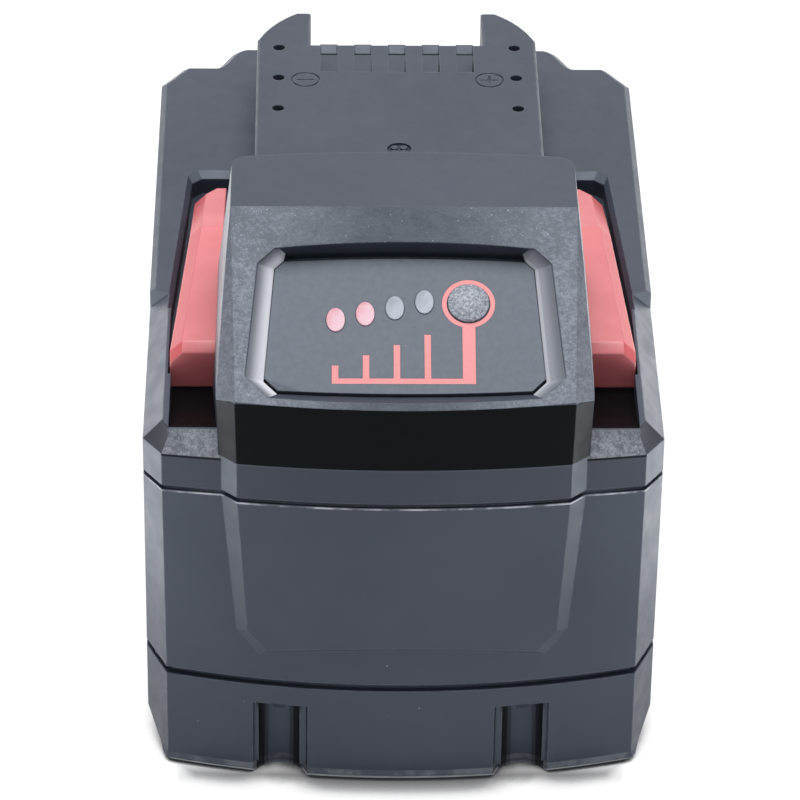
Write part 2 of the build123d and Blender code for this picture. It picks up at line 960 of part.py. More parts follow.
def rail_plan(inset=0):
    """Plan of the rail's top flange, with the two horns at the rear."""
    end_y = front + horn_end_depth
    notch_y = front + rail_end_depth
    side = rail_half - inset
    start_y = front + block_length - wall - block_rear_sag
    tip = (horn_tip_half, end_y)
    curve = (horn_curve_half, end_y - horn_curve_setback)
    shoulder = (horn_shoulder_half, end_y - horn_shoulder_setback)
    right = [shoulder, (side, end_y - horn_side_setback), (side, start_y)]
    inner = [(horn_inner_half, notch_y), (horn_inner_half, end_y), tip]
    edges = [Line(a, b) for a, b in zip(inner, inner[1:])]
    edges += [ThreePointArc(tip, curve, shoulder)]
    edges += [Line(a, b) for a, b in zip(right, right[1:])]
    edges += [Line((side, start_y), (-side, start_y))]
    edges += [Line((-a[0], a[1]), (-b[0], b[1])) for a, b in zip(right[::-1], right[-2::-1])]
    edges += [
        ThreePointArc(
            (-shoulder[0], shoulder[1]), (-curve[0], curve[1]), (-tip[0], tip[1])
        )
    ]
    edges += [Line((-a[0], a[1]), (-b[0], b[1])) for a, b in zip(inner[::-1], inner[-2::-1])]
    edges += [Line((-horn_inner_half, notch_y), (horn_inner_half, notch_y))]
    return outline_face(edges)


def rail_solid():
    """The slide rail: a flange that overhangs the neck on both sides."""
    flange = upright(rail_plan(), flange_level, plateau_level)
    top_edges = flange.faces().sort_by(Axis.Z)[-1].edges()
    flange = chamfer(top_edges, flange_edge)
    neck = upright(rail_plan(), deck_level, flange_level)
    neck &= slab((-neck_half, neck_half), (front, rear), (deck_level, flange_level))
    return flange + neck


def rail_cavity():
    """Space inside the neck for the terminals and the circuit board."""
    return slab(
        (wall - neck_half, neck_half - wall),
        (front + block_length - 2 * wall - block_rear_sag, front + rail_end_depth - wall),
        (deck_underside - overrun, ceiling_level),
    )


def slot_xs():
    """Centre lines of the terminal slots."""
    middle = (slot_count - 1) / 2
    return [(index - middle) * slot_pitch for index in range(slot_count)]


def terminal_slots():
    """Slots for the tool's blades, open to the rear."""
    end_y = front + rail_end_depth
    cuts = Part()
    for x in slot_xs():
        cuts += slab(
            (x - slot_width / 2, x + slot_width / 2),
            (end_y - slot_length, end_y + overrun),
            (plateau_level - slot_depth, plateau_level + overrun),
        )
    return cuts


def rail_marks():
    """Blind pin holes, the moulding gate and the polarity marks in the flange."""
    cuts = Part()
    for row in range(pinhole_rows):
        y = front + rail_end_depth - pinhole_setback - row * pinhole_pitch
        for x in (-pinhole_half, pinhole_half):
            cuts += rod(x, y, plateau_level - pinhole_depth, plateau_level + overrun, pinhole_radius)
    gate_y = front + rail_end_depth - gate_setback
    gate_floor = plateau_level - gate_depth
    gate = rod(0, gate_y, gate_floor, plateau_level + overrun, gate_radius)
    for x in (-gate_lobe_reach, gate_lobe_reach):
        for y in (-gate_lobe_reach, gate_lobe_reach):
            gate -= rod(x, gate_y + y, gate_floor - overrun, gate_floor + gate_lobe_height, gate_lobe_radius)
    cuts += gate
    mark_y = front + rail_end_depth - mark_setback
    low = plateau_level - mark_depth
    high = plateau_level + overrun
    reach = mark_radius * mark_bar_share
    for x in (-mark_half, mark_half):
        ring = rod(x, mark_y, low, high, mark_radius)
        ring -= rod(x, mark_y, low - overrun, high + overrun, mark_radius - mark_line)
        cuts += ring
        cuts += slab((x - reach, x + reach), (mark_y - mark_line / 2, mark_y + mark_line / 2), (low, high))
    cuts += slab(
        (mark_half - mark_line / 2, mark_half + mark_line / 2),
        (mark_y - reach, mark_y + reach),
        (low, high),
    )
    return cuts


def bowed_outline(low_corners, high_corners, low_bow, high_bow):
    """Outline on the slope with straight sides, cut corners, and ends that bow down and up."""
    right = low_corners + high_corners
    left = [(-x, rise) for x, rise in reversed(right)]
    low_end = right[0]
    high_end = right[-1]
    edges = [ThreePointArc(left[-1], (0, low_end[1] - low_bow), low_end)]
    edges += [Line(a, b) for a, b in zip(right, right[1:])]
    edges += [ThreePointArc(high_end, (0, high_end[1] + high_bow), left[0])]
    edges += [Line(a, b) for a, b in zip(left, left[1:])]
    return outline_face(edges)


def recess_outline():
    """The gauge recess at the slope's surface."""
    low = recess_low + recess_low_bow
    high = recess_high - recess_high_bow
    low_end = recess_low_half - recess_low_corner
    high_end = recess_high_half - recess_high_corner
    return bowed_outline(
        [(low_end, low), (recess_low_half, low + recess_low_corner)],
        [
            (recess_high_half, high - recess_high_corner),
            (high_end, high),
            (high_end - recess_head_step, high),
        ],
        recess_low_bow, recess_high_bow,
    )


def gauge_outline(grow=0, foot=0, head=0):
    """The gauge panel, or the opening round it with more room at its foot and its head."""
    low = gauge_low + gauge_bow - grow - foot
    high = gauge_high - gauge_bow + grow
    low_half = gauge_low_half + grow
    high_half = gauge_high_half + grow
    high_end = high_half - gauge_high_corner
    return bowed_outline(
        [(low_half - gauge_low_corner, low), (low_half, low + gauge_low_corner)],
        [
            (high_half, high - gauge_high_corner),
            (high_end, high),
            (high_end - gauge_head_step, high + head),
        ],
        gauge_bow, gauge_bow,
    )


def gauge_recess():
    """The recess with slanted sides, and the opening that the panel fills."""
    floor = gauge_outline(gauge_gap, gauge_foot_gap, gauge_head_gap)
    outer = slope_plane * recess_outline()
    inner = slope_plane * Pos(0, 0, -recess_depth) * floor
    recess = loft([outer, inner], ruled=True)
    return recess + slope_prism(floor, recess_depth - overrun / 4, slope_roof + overrun)


def well_shelf():
    """Floor and inner wall under a button's well."""
    return slab(
        (well_inner_half - well_inner_wall, half_width - wall / 2),
        (front + skirt_facet_depth - wall, front + well_rear_depth + wall),
        (well_floor_level - well_floor_thickness, deck_underside + overrun / 2),
    )


def spring_rib():
    """The rib inside the block that the release spring pushes against, and its post."""
    y = front + spring_place_depth
    half = spring_rib_width / 2
    outer = spring_rib_half + spring_rib_thickness
    rib = slab(
        (spring_rib_half, outer),
        (y - half, y + half),
        (well_floor_level + spring_rib_foot, block_top - wall / 2),
    )
    post = Pos(outer + spring_post_length / 2, y, spring_level) * Rot(0, 90, 0)
    return rib + post * Cylinder(spring_post_radius, spring_post_length)


def hook_window():
    """The opening in the neck that a latch hook's tooth comes out of."""
    low = flange_level - hook_tooth_drop - hook_tooth_height
    y = front + lever_depth
    return slab(
        (neck_half - wall - overrun, neck_half + overrun),
        (y - hook_window_gap, y + lever_width + hook_window_gap),
        (low - hook_window_gap, low + hook_tooth_height + hook_window_gap),
    )


def lever_slot():
    """The opening from the well into the housing for the latch lever."""
    y = front + lever_depth
    return slab(
        (well_inner_half - well_inner_wall - overrun, well_inner_half + overrun),
        (y - hook_window_gap, y + lever_width + hook_window_gap),
        (well_floor_level, deck_underside),
    )


def button_window():
    """The opening in the block's side wall that a release button moves through."""
    return slab(
        (well_inner_half, block_foot_half + overrun),
        (front + well_front_depth, front + block_length + overrun),
        (well_floor_level, window_level),
    )


def make_top_housing():
    """Shoulders, gauge block and slide rail, moulded as one hollow piece."""
    shoulder = shoulder_solid()
    shoulder -= both_sides(well_cut() + scoop_cut())
    block = block_solid()
    facet = block_facet()
    block -= facet
    block -= flipped(facet)
    outer = shoulder + block + rail_solid()
    hollow = upright(inner_plan, middle_top - overrun, deck_underside)
    hollow += block_solid(wall, slope_roof, wall)
    hollow += rail_cavity()
    shelf = well_shelf() - well_cut() - scoop_cut()
    housing = outer - (hollow - both_sides(shelf))
    housing -= both_sides(button_window() + hook_window() + lever_slot())
    housing -= gauge_recess() + terminal_slots() + rail_marks()
    housing += both_sides(spring_rib())
    bosses = Part()
    for x, y in screw_places():
        bosses += rod(x, y, middle_top, deck_underside, screw_boss_radius)
    housing += bosses - both_sides(scoop_cut())
    for x, y in screw_places():
        tip = screw_end_level + screw_clearance
        housing -= rod(x, y, middle_top - overrun, tip, screw_radius + thread_gap)
    for x, y in board_boss_places():
        housing += rod(x, y, board_top, ceiling_level + overrun / 2, board_boss_radius)
        tip = board_level + small_screw_length + screw_clearance
        housing -= rod(x, y, board_top - overrun, tip, small_screw_radius + thread_gap)
    press_rib_outer = holder_end - press_rib_inset
    press_rib = slab(
        (press_rib_outer - press_rib_width, press_rib_outer),
        (front + press_rib_depth, front + press_rib_depth + press_rib_length),
        (holder_top + casing_rib_gap, deck_level - wall / 2),
    )
    housing += both_sides(press_rib)
    rebate = seam_ring(tongue_inset - tongue_clearance, middle_top - overrun,
                       middle_top + tongue_height + tongue_clearance)
    rebate -= seam_ring(wall, middle_top - 2 * overrun, middle_top + 2 * tongue_height)
    return housing - rebate


# Release buttons, hooks and springs

def button_section(y, height, outer_half, top_inset):
    """Cross-section of a release button at one place along its length."""
    top = well_floor_level + height
    return station(
        [
            (button_inner_half, button_low),
            (outer_half, button_low),
            (outer_half, top - top_inset),
            (outer_half - top_inset, top),
            (button_inner_half, top),
        ],
        y,
    )


def make_release_button():
    """Right release button: wedge-shaped cap, inner flange and spring post."""
    start_y = front + well_front_depth + wall / 2 + lever_gap
    crest_y = front + button_crest_depth
    end_y = front + well_rear_depth - button_rear_gap
    tail_y = end_y - button_tail_corner
    tail_share = button_tail_corner / (end_y - crest_y)
    tail_height = button_rear_height + tail_share * (button_crest_height - button_rear_height)
    round_y = start_y + button_front_round
    low_front = button_front_height - button_front_round
    crest_half = button_inner_half + button_width * button_crest_share
    tail_half = button_inner_half + button_width * button_tail_share
    end_half = button_inner_half + button_width * button_end_share
    body = loft(
        [
            button_section(start_y, low_front, button_outer_half, button_bevel),
            button_section(round_y, button_front_height, button_outer_half, button_bevel),
            button_section(crest_y, button_crest_height, crest_half, button_bevel),
            button_section(tail_y, tail_height, tail_half, button_bevel),
            button_section(end_y, button_rear_height, end_half, button_bevel),
        ],
        ruled=True,
    )
    flange_y = front + button_flange_depth
    flange_length = block_length - button_flange_setback - button_flange_depth
    flange_outer = block_rim_half - wall - lever_gap
    flange_inner = flange_outer - button_flange_thickness
    flange_low = deck_level + lever_gap
    neck = slab(
        (flange_inner, button_inner_half + button_bevel),
        (flange_y + button_neck_inset, flange_y + flange_length - button_neck_inset),
        (flange_low, window_level - window_head - button_bevel),
    )
    flange = slab(
        (flange_inner, flange_outer),
        (flange_y, flange_y + flange_length),
        (flange_low, window_level + button_flange_over),
    )
    y = front + spring_place_depth
    post = Pos(flange_inner - spring_post_length / 2, y, spring_level) * Rot(0, 90, 0)
    button = body + neck + flange + post * Cylinder(spring_post_radius, spring_post_length)
    return button - lever_plate(hook_inner_half)


def lever_plate(inner_half):
    """Flat lever that runs from the button under the deck."""
    y = front + lever_depth
    return slab(
        (inner_half, button_inner_half + lever_grip),
        (y, y + lever_width),
        (button_low, button_low + lever_thickness),
    )


def make_latch_hook():
    """Right latch hook: flat lever, riser and the tooth that locks in the tool."""
    y = front + lever_depth
    tooth_low = flange_level - hook_tooth_drop - hook_tooth_height
    tooth_high = tooth_low + hook_tooth_height
    hook = lever_plate(hook_inner_half)
    hook += slab((hook_inner_half, hook_inner_half + hook_plate), (y, y + lever_width), (button_low, tooth_high))
    tip_x = neck_half + hook_reach
    tooth = polygon([
        (hook_inner_half, y),
        (neck_half, y),
        (tip_x, y + hook_reach),
        (tip_x, y + lever_width),
        (hook_inner_half, y + lever_width),
    ])
    return hook + upright(tooth, tooth_low, tooth_high)


def make_release_spring():
    """Right release spring, coiled between the rib and the button's flange."""
    rib_face = spring_rib_half + spring_rib_thickness + spring_end_gap
    flange_face = block_rim_half - wall - lever_gap - button_flange_thickness - spring_end_gap
    height = flange_face - rib_face - spring_wire
    path = Helix(pitch=height / spring_turns, height=height, radius=spring_radius)
    start = path @ 0
    direction = path % 0
    section = Plane(origin=start, z_dir=direction) * Circle(spring_wire / 2)
    coil = sweep(section, path=path, is_frenet=True)
    place = Pos(rib_face + spring_wire / 2, front + spring_place_depth, spring_level)
    return place * Rot(0, 90, 0) * coil


# Charge gauge

def lens_places():
    """Centre of each charge light on the slope."""
    return [
        (lens_first_x + index * lens_pitch_x, lens_first_rise + index * lens_pitch_rise)
        for index in range(lens_count)
    ]


def ellipse_post(x, rise, drop_top, drop_foot, grow=0):
    """An elliptical post square to the slope."""
    face = Ellipse(lens_half_width + grow, lens_half_height + grow)
    face = slope_plane * Pos(x, rise, -drop_foot) * face
    return extrude(face, drop_foot - drop_top, dir=slope_plane.z_dir)


def make_lens(x, rise):
    """One charge light: a clear oval rod with a collar behind the panel."""
    back = recess_depth + gauge_thickness + gauge_flange
    lens = ellipse_post(x, rise, recess_depth - lens_proud, recess_depth + lens_length)
    return lens + ellipse_post(x, rise, back, back + lens_collar_thickness, lens_collar)


def graphic_solid(drop_top, drop_foot):
    """The bar-chart graphic: ring, stem, baseline and rising bars."""
    drops = (drop_top, drop_foot)
    base_high = baseline_low + baseline_width
    ring = slope_rod(ring_x, ring_rise, drop_top, drop_foot, ring_radius)
    stem_x = (ring_x - stem_half_width, ring_x + stem_half_width)
    shape = ring + slope_slab(stem_x, (baseline_low, ring_rise), drops)
    shape += slope_slab((baseline_start, ring_x), (baseline_low, base_high), drops)
    for index in range(lens_count):
        x = baseline_start + index * bar_pitch_x
        top = bar_first_top + index * bar_step
        shape += slope_slab((x, x + bar_width), (baseline_low, top), drops)
    bore = ring_radius - ring_width
    return shape - slope_rod(ring_x, ring_rise, drop_top - overrun, drop_foot + overrun, bore)


def make_gauge_graphic():
    """The graphic as a thin inlay."""
    return graphic_solid(recess_depth, recess_depth + graphic_thickness)


def gauge_post_places():
    """Posts behind the panel that carry its circuit board."""
    rises = (gauge_post_low, gauge_post_high)
    return [(x, rise) for x in (-gauge_post_half, gauge_post_half) for rise in rises]


def make_gauge_panel():
    """The sloping gauge panel, with a flange behind the opening and four posts."""
    face_drop = recess_depth
    back_drop = recess_depth + gauge_thickness
    foot_drop = back_drop + gauge_flange
    panel = slope_prism(gauge_outline(), face_drop, foot_drop)
    panel += slope_prism(gauge_outline(gauge_gap + gauge_flange_lap), slope_roof, foot_drop)
    for x, rise in gauge_post_places():
        panel += slope_rod(x, rise, back_drop, gauge_board_drop, gauge_post_radius)
        panel -= slope_rod(
            x, rise, gauge_board_drop - small_screw_length + board_thickness,
            gauge_board_drop + overrun, small_screw_radius + thread_gap,
        )
    for x, rise in lens_places():
        panel -= ellipse_post(x, rise, face_drop - overrun, foot_drop + overrun, lens_gap)
    panel -= slope_rod(ring_x, ring_rise, face_drop - overrun, foot_drop + overrun, cap_radius + cap_gap)
    return panel - graphic_solid(face_drop - overrun, face_drop + graphic_thickness)


def make_gauge_button_cap():
    """Round rubber push button with a domed top and a collar behind the panel."""
    top = recess_depth - cap_proud
    collar_top = recess_depth + gauge_thickness + gauge_flange + cap_collar_gap
    collar_foot = collar_top + cap_collar_thickness
    cap = slope_rod(ring_x, ring_rise, top, collar_foot, cap_radius)
    cap += slope_rod(ring_x, ring_rise, collar_top, collar_foot, cap_radius + cap_collar)
    ball = (cap_radius ** 2 + cap_dome ** 2) / (2 * cap_dome)
    dome = on_slope(Sphere(ball), ring_x, ring_rise, top - cap_dome + ball)
    dome &= slope_rod(ring_x, ring_rise, top - 2 * cap_dome, top + cap_dome / 4, cap_radius)
    return cap + dome


def plunger_top():
    """Distance below the slope's surface where the cap meets the switch plunger."""
    return recess_depth + gauge_thickness + gauge_flange + cap_collar_gap + cap_collar_thickness


def make_switch_plunger():
    """Plunger of the gauge's switch."""
    return slope_rod(ring_x, ring_rise, plunger_top(), plunger_top() + plunger_length, plunger_radius)


def make_switch_body():
    """Square body of the gauge's push switch."""
    x_range = (ring_x - switch_half, ring_x + switch_half)
    rise_range = (ring_rise - switch_half, ring_rise + switch_half)
    body = slope_slab(x_range, rise_range, (gauge_board_drop - switch_height, gauge_board_drop))
    bore_foot = plunger_top() + plunger_length + cap_travel + plunger_gap
    bore_top = gauge_board_drop - switch_height - overrun
    return body - slope_rod(ring_x, ring_rise, bore_top, bore_foot, plunger_radius + plunger_gap)


def make_gauge_board():
    """Small circuit board behind the gauge."""
    foot = gauge_board_drop + board_thickness
    board = slope_slab(
        (-gauge_board_half, gauge_board_half), (gauge_board_low, gauge_board_high), (gauge_board_drop, foot)
    )
    for x, rise in gauge_post_places():
        board -= slope_rod(
            x, rise, gauge_board_drop - overrun, foot + overrun, small_screw_radius + screw_clearance
        )
    return board


def make_charge_leds():
    """Four light sources on the gauge's circuit board."""
    lights = Part()
    for x, rise in lens_places():
        lights += slope_slab(
            (x - led_half_width, x + led_half_width),
            (rise - led_half_height, rise + led_half_height),
            (gauge_board_drop - led_height, gauge_board_drop),
        )
    return lights


def small_screw():
    """A short screw with its head down and its tip up."""
    shank = Pos(0, 0, small_screw_length / 2) * Cylinder(small_screw_radius, small_screw_length)
    head = Pos(0, 0, -small_screw_head_height / 2)
    head = head * Cylinder(small_screw_head_radius, small_screw_head_height)
    socket = Pos(0, 0, -small_screw_head_height) * Cylinder(
        small_screw_radius * socket_radius / screw_radius, small_screw_head_height
    )
    return shank + head - socket


def make_gauge_board_screws():
    """Four screws that hold the gauge's board on its posts."""
    screws = Part()
    for x, rise in gauge_post_places():
        screws += on_slope(small_screw(), x, rise, gauge_board_drop + board_thickness)
    return screws


# Cells, holders and strips

def column_y(column):
    """Centre line of a column of cells."""
    return holder_front + holder_margin + (column + 1 / 2) * cell_pitch


def row_z(row):
    """Centre line of a row of cells."""
    return holder_low + holder_margin + (row + 1 / 2) * cell_pitch


def lying(shape, x, y, z):
    """Turn a shape made along Z so that it lies along X at the given centre."""
    return Pos(x, y, z) * Rot(0, 90, 0) * shape


def make_cell(column, row):
    """One cylindrical cell with its crimp groove and raised cap."""
    radius = cell_diameter / 2
    sense = 1 if column % 2 == 0 else -1
    can = Cylinder(radius, cell_length - 2 * cell_cap_height)
    place = cell_length / 2 - cell_crimp_place
    groove = Cylinder(radius + overrun, cell_crimp_width) - Cylinder(radius - cell_crimp_depth, cell_crimp_width)
    can -= Pos(0, 0, sense * place) * groove
    can += Cylinder(cell_cap_radius, cell_length)
    return lying(can, 0, column_y(column), row_z(row))


def make_cell_holder():
    """Right holder: a moulded block that grips the ends of all the cells."""
    inner = holder_end - holder_end_wall - holder_grip
    holder = slab((inner, holder_end), (holder_front, holder_rear), (holder_low, holder_top))
    bore_length = holder_grip + overrun
    bore_x = holder_end - holder_end_wall - bore_length / 2
    bore = Cylinder(cell_diameter / 2 + cell_clearance / 4, bore_length)
    eye = Cylinder(holder_eye_radius, 4 * overrun)
    for column in range(cell_columns):
        for row in range(cell_rows):
            holder -= lying(bore, bore_x, column_y(column), row_z(row))
            holder -= lying(eye, holder_end, column_y(column), row_z(row))
    return holder


def make_strip(columns):
    """Nickel strip that joins whole columns of cells on the right side."""
    half = strip_width / 2
    z_range = (row_z(0) - half, row_z(cell_rows - 1) + half)
    strip = Part()
    for column in columns:
        y = column_y(column)
        strip += slab((holder_end, strip_face), (y - half, y + half), z_range)
    y_range = (column_y(columns[0]), column_y(columns[-1]))
    if len(columns) > 1:
        for row in range(cell_rows):
            z = row_z(row)
            strip += slab((holder_end, strip_face), y_range, (z - half, z + half))
    start = cell_length / 2
    disc = Cylinder(strip_weld_radius, holder_end - start)
    for column in columns:
        for row in range(cell_rows):
            strip += lying(disc, (start + holder_end) / 2, column_y(column), row_z(row))
    return strip


def make_insulator():
    """Insulating sheet over the right side's strips."""
    top = row_z(cell_rows - 1) + strip_width / 2 - bar_drop
    return slab((strip_face, insulator_face), (holder_front, holder_rear), (holder_low, top))


def bar_riser(y):
    """Upright leg of a current bar, on the outer face of the right side's strip."""
    top = holder_top + bar_lift + bar_thickness
    low = row_z(cell_rows - 1) + strip_width / 2 - bar_drop
    half = bar_breadth / 2
    return slab((strip_face, strip_face + bar_thickness), (y - half, y + half), (low, top))


def bar_tab(x_range, y_range):
    """Tab from a current bar up to the underside of the circuit board."""
    return slab(x_range, y_range, (holder_top + bar_lift, board_level))


def make_front_bar():
    """Current bar from the front column, along the cells to the circuit board."""
    y = column_y(0)
    half = bar_breadth / 2
    level = (holder_top + bar_lift, holder_top + bar_lift + bar_thickness)
    tab_y = front + board_front_depth + bar_breadth / 2
    lane = (board_half - bar_breadth, board_half)
    bar = bar_riser(y)
    bar += slab((lane[0], strip_face + bar_thickness), (y - half, y + half), level)
    bar += slab(lane, (y - half, tab_y), level)
    return bar + bar_tab(lane, (tab_y - bar_breadth / 2, tab_y))


def make_rear_bar():
    """Current bar from the rear column straight in to the circuit board."""
    y = column_y(cell_columns - 1)
    half = bar_breadth / 2
    level = (holder_top + bar_lift, holder_top + bar_lift + bar_thickness)
    lane = (board_half - bar_breadth / 2, board_half)
    bar = bar_riser(y) + slab((lane[0], strip_face + bar_thickness), (y - half, y + half), level)
    return bar + bar_tab(lane, (y - half, y + half))


def make_base_pad():
    """Foam sheet between the bottom housing and the cell holders."""
    return slab((-holder_end, holder_end), (holder_front, holder_rear), (floor_wall, holder_low))


# Circuit board and terminals

def make_main_board():
    """Main circuit board under the slide rail."""
    y_high = front + rail_end_depth - wall - lever_gap
    board = slab((-board_half, board_half), (front + board_front_depth, y_high), (board_level, board_top))
    for x, y in board_boss_places():
        board -= rod(x, y, board_level - overrun, board_top + overrun, small_screw_radius + screw_clearance)
    return board


def make_main_board_screws():
    """Four screws that hold the main board up against its bosses."""
    screws = Part()
    for x, y in board_boss_places():
        screws += Pos(x, y, board_level) * small_screw()
    return screws


def make_power_transistors():
    """Row of power transistors on the main board."""
    y = front + board_front_depth + transistor_place_share * board_free_length
    middle = (transistor_count - 1) / 2
    row = Part()
    for index in range(transistor_count):
        x = (index - middle) * transistor_pitch
        row += slab(
            (x - transistor_half_width, x + transistor_half_width),
            (y, y + transistor_length),
            (board_top, board_top + chip_height),
        )
    return row


def make_control_chip():
    """The chip that watches the cells."""
    y = front + board_front_depth + chip_place_share * board_free_length
    return slab((-chip_half, chip_half), (y, y + chip_length), (board_top, board_top + chip_height))


def make_terminal_block():
    """Insulating block that carries the five contacts."""
    y_low = front + terminal_front_depth
    y_high = front + rail_end_depth - wall - lever_gap
    block = slab(
        (-terminal_half, terminal_half), (y_low, y_high), (board_top, ceiling_level - terminal_head_gap)
    )
    half = slot_width / 2 + contact_flare
    for x in slot_xs():
        block -= slab(
            (x - half, x + half),
            (y_low + terminal_back_wall, y_high + overrun),
            (board_top + terminal_floor, ceiling_level),
        )
        block -= rod(
            x, y_low + 2 * terminal_back_wall + contact_base, board_top - overrun,
            board_top + 2 * terminal_floor, contact_tail_half,
        )
    return block


def make_contact(x):
    """One contact: two springy leaves on a base, with a tail to the board."""
    y_low = front + terminal_front_depth + terminal_back_wall
    y_high = y_low + contact_length
    z_low = board_top + terminal_floor
    base_top = z_low + contact_base
    inner = contact_mouth / 2
    outer = inner + contact_leaf
    contact = slab((x - outer, x + outer), (y_low, y_high), (z_low, base_top))
    leaf = slab((x + inner, x + outer), (y_low, y_high), (z_low, z_low + contact_height))
    lip = extrude(
        Pos(0, 0, z_low) * polygon([
            (x + inner, y_high - contact_base),
            (x + outer, y_high - contact_base),
            (x + outer + contact_flare, y_high + contact_base),
            (x + inner + contact_flare, y_high + contact_base),
        ]),
        contact_height,
        dir=(0, 0, 1),
    )
    side = leaf + lip
    contact += side + mirror(side, about=Plane.YZ.offset(x))
    tail_y = front + terminal_front_depth + 2 * terminal_back_wall + contact_base
    return contact + rod(x, tail_y, board_top, z_low + contact_base / 2, contact_tail_half - thread_gap)


# Case screws

def make_housing_screws():
    """Four long screws from the underside up into the top housing."""
    screws = Part()
    for x, y in screw_places():
        head_low = screw_seat_height - screw_head_height
        screw = rod(x, y, head_low, screw_seat_height, screw_head_radius)
        screw += rod(x, y, screw_seat_height, screw_end_level, screw_radius)
        socket = Pos(x, y, head_low) * extrude(
            RegularPolygon(socket_radius, 6), socket_depth, dir=(0, 0, 1)
        )
        screws += screw - socket
    return screws


# The pieces, by name

right_columns = [[0], [1, 2], [3, 4]]
left_columns = [[0, 1], [2, 3], [4]]

pieces = {
    "bottom_housing": make_bottom_housing(),
    "middle_housing": make_middle_housing(),
    "top_housing": make_top_housing(),
    "gauge_panel": make_gauge_panel(),
    "gauge_graphic": make_gauge_graphic(),
    "gauge_button_cap": make_gauge_button_cap(),
    "switch_plunger": make_switch_plunger(),
    "switch_body": make_switch_body(),
    "gauge_board": make_gauge_board(),
    "charge_leds": make_charge_leds(),
    "gauge_board_screws": make_gauge_board_screws(),
    "base_pad": make_base_pad(),
    "front_current_bar": make_front_bar(),
    "rear_current_bar": flipped(make_rear_bar()),
    "main_board": make_main_board(),
    "main_board_screws": make_main_board_screws(),
    "power_transistors": make_power_transistors(),
    "control_chip": make_control_chip(),
    "terminal_block": make_terminal_block(),
    "housing_screws": make_housing_screws(),
}

for number, (x, rise) in enumerate(lens_places(), start=1):
    pieces[f"charge_lens_{number}"] = make_lens(x, rise)

for number, x in enumerate(slot_xs(), start=1):
    pieces[f"terminal_contact_{number}"] = make_contact(x)

for column in range(cell_columns):
    for row in range(cell_rows):
        pieces[f"cell_column{column + 1}_row{row + 1}"] = make_cell(column, row)

for number, columns in enumerate(right_columns, start=1):
    pieces[f"right_cell_strip_{number}"] = make_strip(columns)

for number, columns in enumerate(left_columns, start=1):
    pieces[f"left_cell_strip_{number}"] = flipped(make_strip(columns))

paired = {
    "release_button": make_release_button(),
    "latch_hook": make_latch_hook(),
    "release_spring": make_release_spring(),
    "cell_holder": make_cell_holder(),
    "insulator": make_insulator(),
}

for name, shape in paired.items():
    pieces[f"right_{name}"] = shape
    pieces[f"left_{name}"] = flipped(shape)

os.makedirs("parts", exist_ok=True)
for name, shape in pieces.items():
    shape.label = name
    export_step(shape, f"parts/{name}.step")
print(len(pieces), "pieces")
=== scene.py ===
import bpy
import bmesh
import math
from mathutils import Matrix, Vector


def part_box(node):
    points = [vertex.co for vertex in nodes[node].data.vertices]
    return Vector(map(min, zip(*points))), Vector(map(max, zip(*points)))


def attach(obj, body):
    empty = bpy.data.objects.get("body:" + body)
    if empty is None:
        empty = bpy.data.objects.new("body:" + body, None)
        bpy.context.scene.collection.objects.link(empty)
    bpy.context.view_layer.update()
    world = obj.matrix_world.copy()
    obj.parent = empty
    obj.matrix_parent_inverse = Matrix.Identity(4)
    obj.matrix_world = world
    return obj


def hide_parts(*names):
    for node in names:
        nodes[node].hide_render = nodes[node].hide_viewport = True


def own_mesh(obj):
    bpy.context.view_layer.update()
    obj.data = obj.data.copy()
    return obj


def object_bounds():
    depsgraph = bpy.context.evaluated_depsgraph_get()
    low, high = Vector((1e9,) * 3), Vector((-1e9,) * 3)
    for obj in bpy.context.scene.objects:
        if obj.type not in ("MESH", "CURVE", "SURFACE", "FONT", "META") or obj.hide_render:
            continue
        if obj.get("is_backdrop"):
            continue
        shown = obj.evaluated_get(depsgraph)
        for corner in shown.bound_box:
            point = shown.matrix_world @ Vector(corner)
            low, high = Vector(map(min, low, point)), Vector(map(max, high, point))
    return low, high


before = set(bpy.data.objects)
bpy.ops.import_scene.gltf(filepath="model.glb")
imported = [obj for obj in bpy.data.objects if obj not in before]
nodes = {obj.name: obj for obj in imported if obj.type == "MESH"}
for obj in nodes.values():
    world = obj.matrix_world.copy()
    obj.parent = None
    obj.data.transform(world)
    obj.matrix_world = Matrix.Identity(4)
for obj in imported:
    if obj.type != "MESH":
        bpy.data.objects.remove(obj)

# A slide-in battery pack on a white table, in metres.
# X is the width, -Y is the face with the charge gauge, Z is up.

MM = 0.001
cad_low, cad_high = (Vector(corner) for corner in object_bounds())
front = cad_low.y

# The slope that carries the gauge

SLOPE_ANGLE = math.radians(31.0)
RIM_LEVEL = 74.2 * MM


# Small helpers for materials

NOISE_SPREAD = (0.3, 0.7)
SPECK_CORE = 0.6
EDGE_SAMPLES = 6
EDGE_BEND = (0.93, 0.998)


def new_material(name):
    """An empty material with its shader and output, and the shader returned with it."""
    material = bpy.data.materials.new(name)
    material.use_nodes = True
    tree = material.node_tree
    tree.nodes.clear()
    output = tree.nodes.new("ShaderNodeOutputMaterial")
    shader = tree.nodes.new("ShaderNodeBsdfPrincipled")
    tree.links.new(shader.outputs["BSDF"], output.inputs["Surface"])
    return material, tree, shader


def feed(tree, socket, value):
    """Links a socket, or sets a plain value on it."""
    if isinstance(value, bpy.types.NodeSocket):
        tree.links.new(value, socket)
    else:
        socket.default_value = value


def sums(tree, operation, first, second=0.0, clamp=False):
    """One maths step on two values."""
    node = tree.nodes.new("ShaderNodeMath")
    node.operation = operation
    node.use_clamp = clamp
    feed(tree, node.inputs[0], first)
    feed(tree, node.inputs[1], second)
    return node.outputs[0]


def times(tree, first, *others):
    """The product of some values."""
    for value in others:
        first = sums(tree, "MULTIPLY", first, value)
    return first


def greatest(tree, first, *others):
    """The greatest of some values."""
    for value in others:
        first = sums(tree, "MAXIMUM", first, value)
    return first


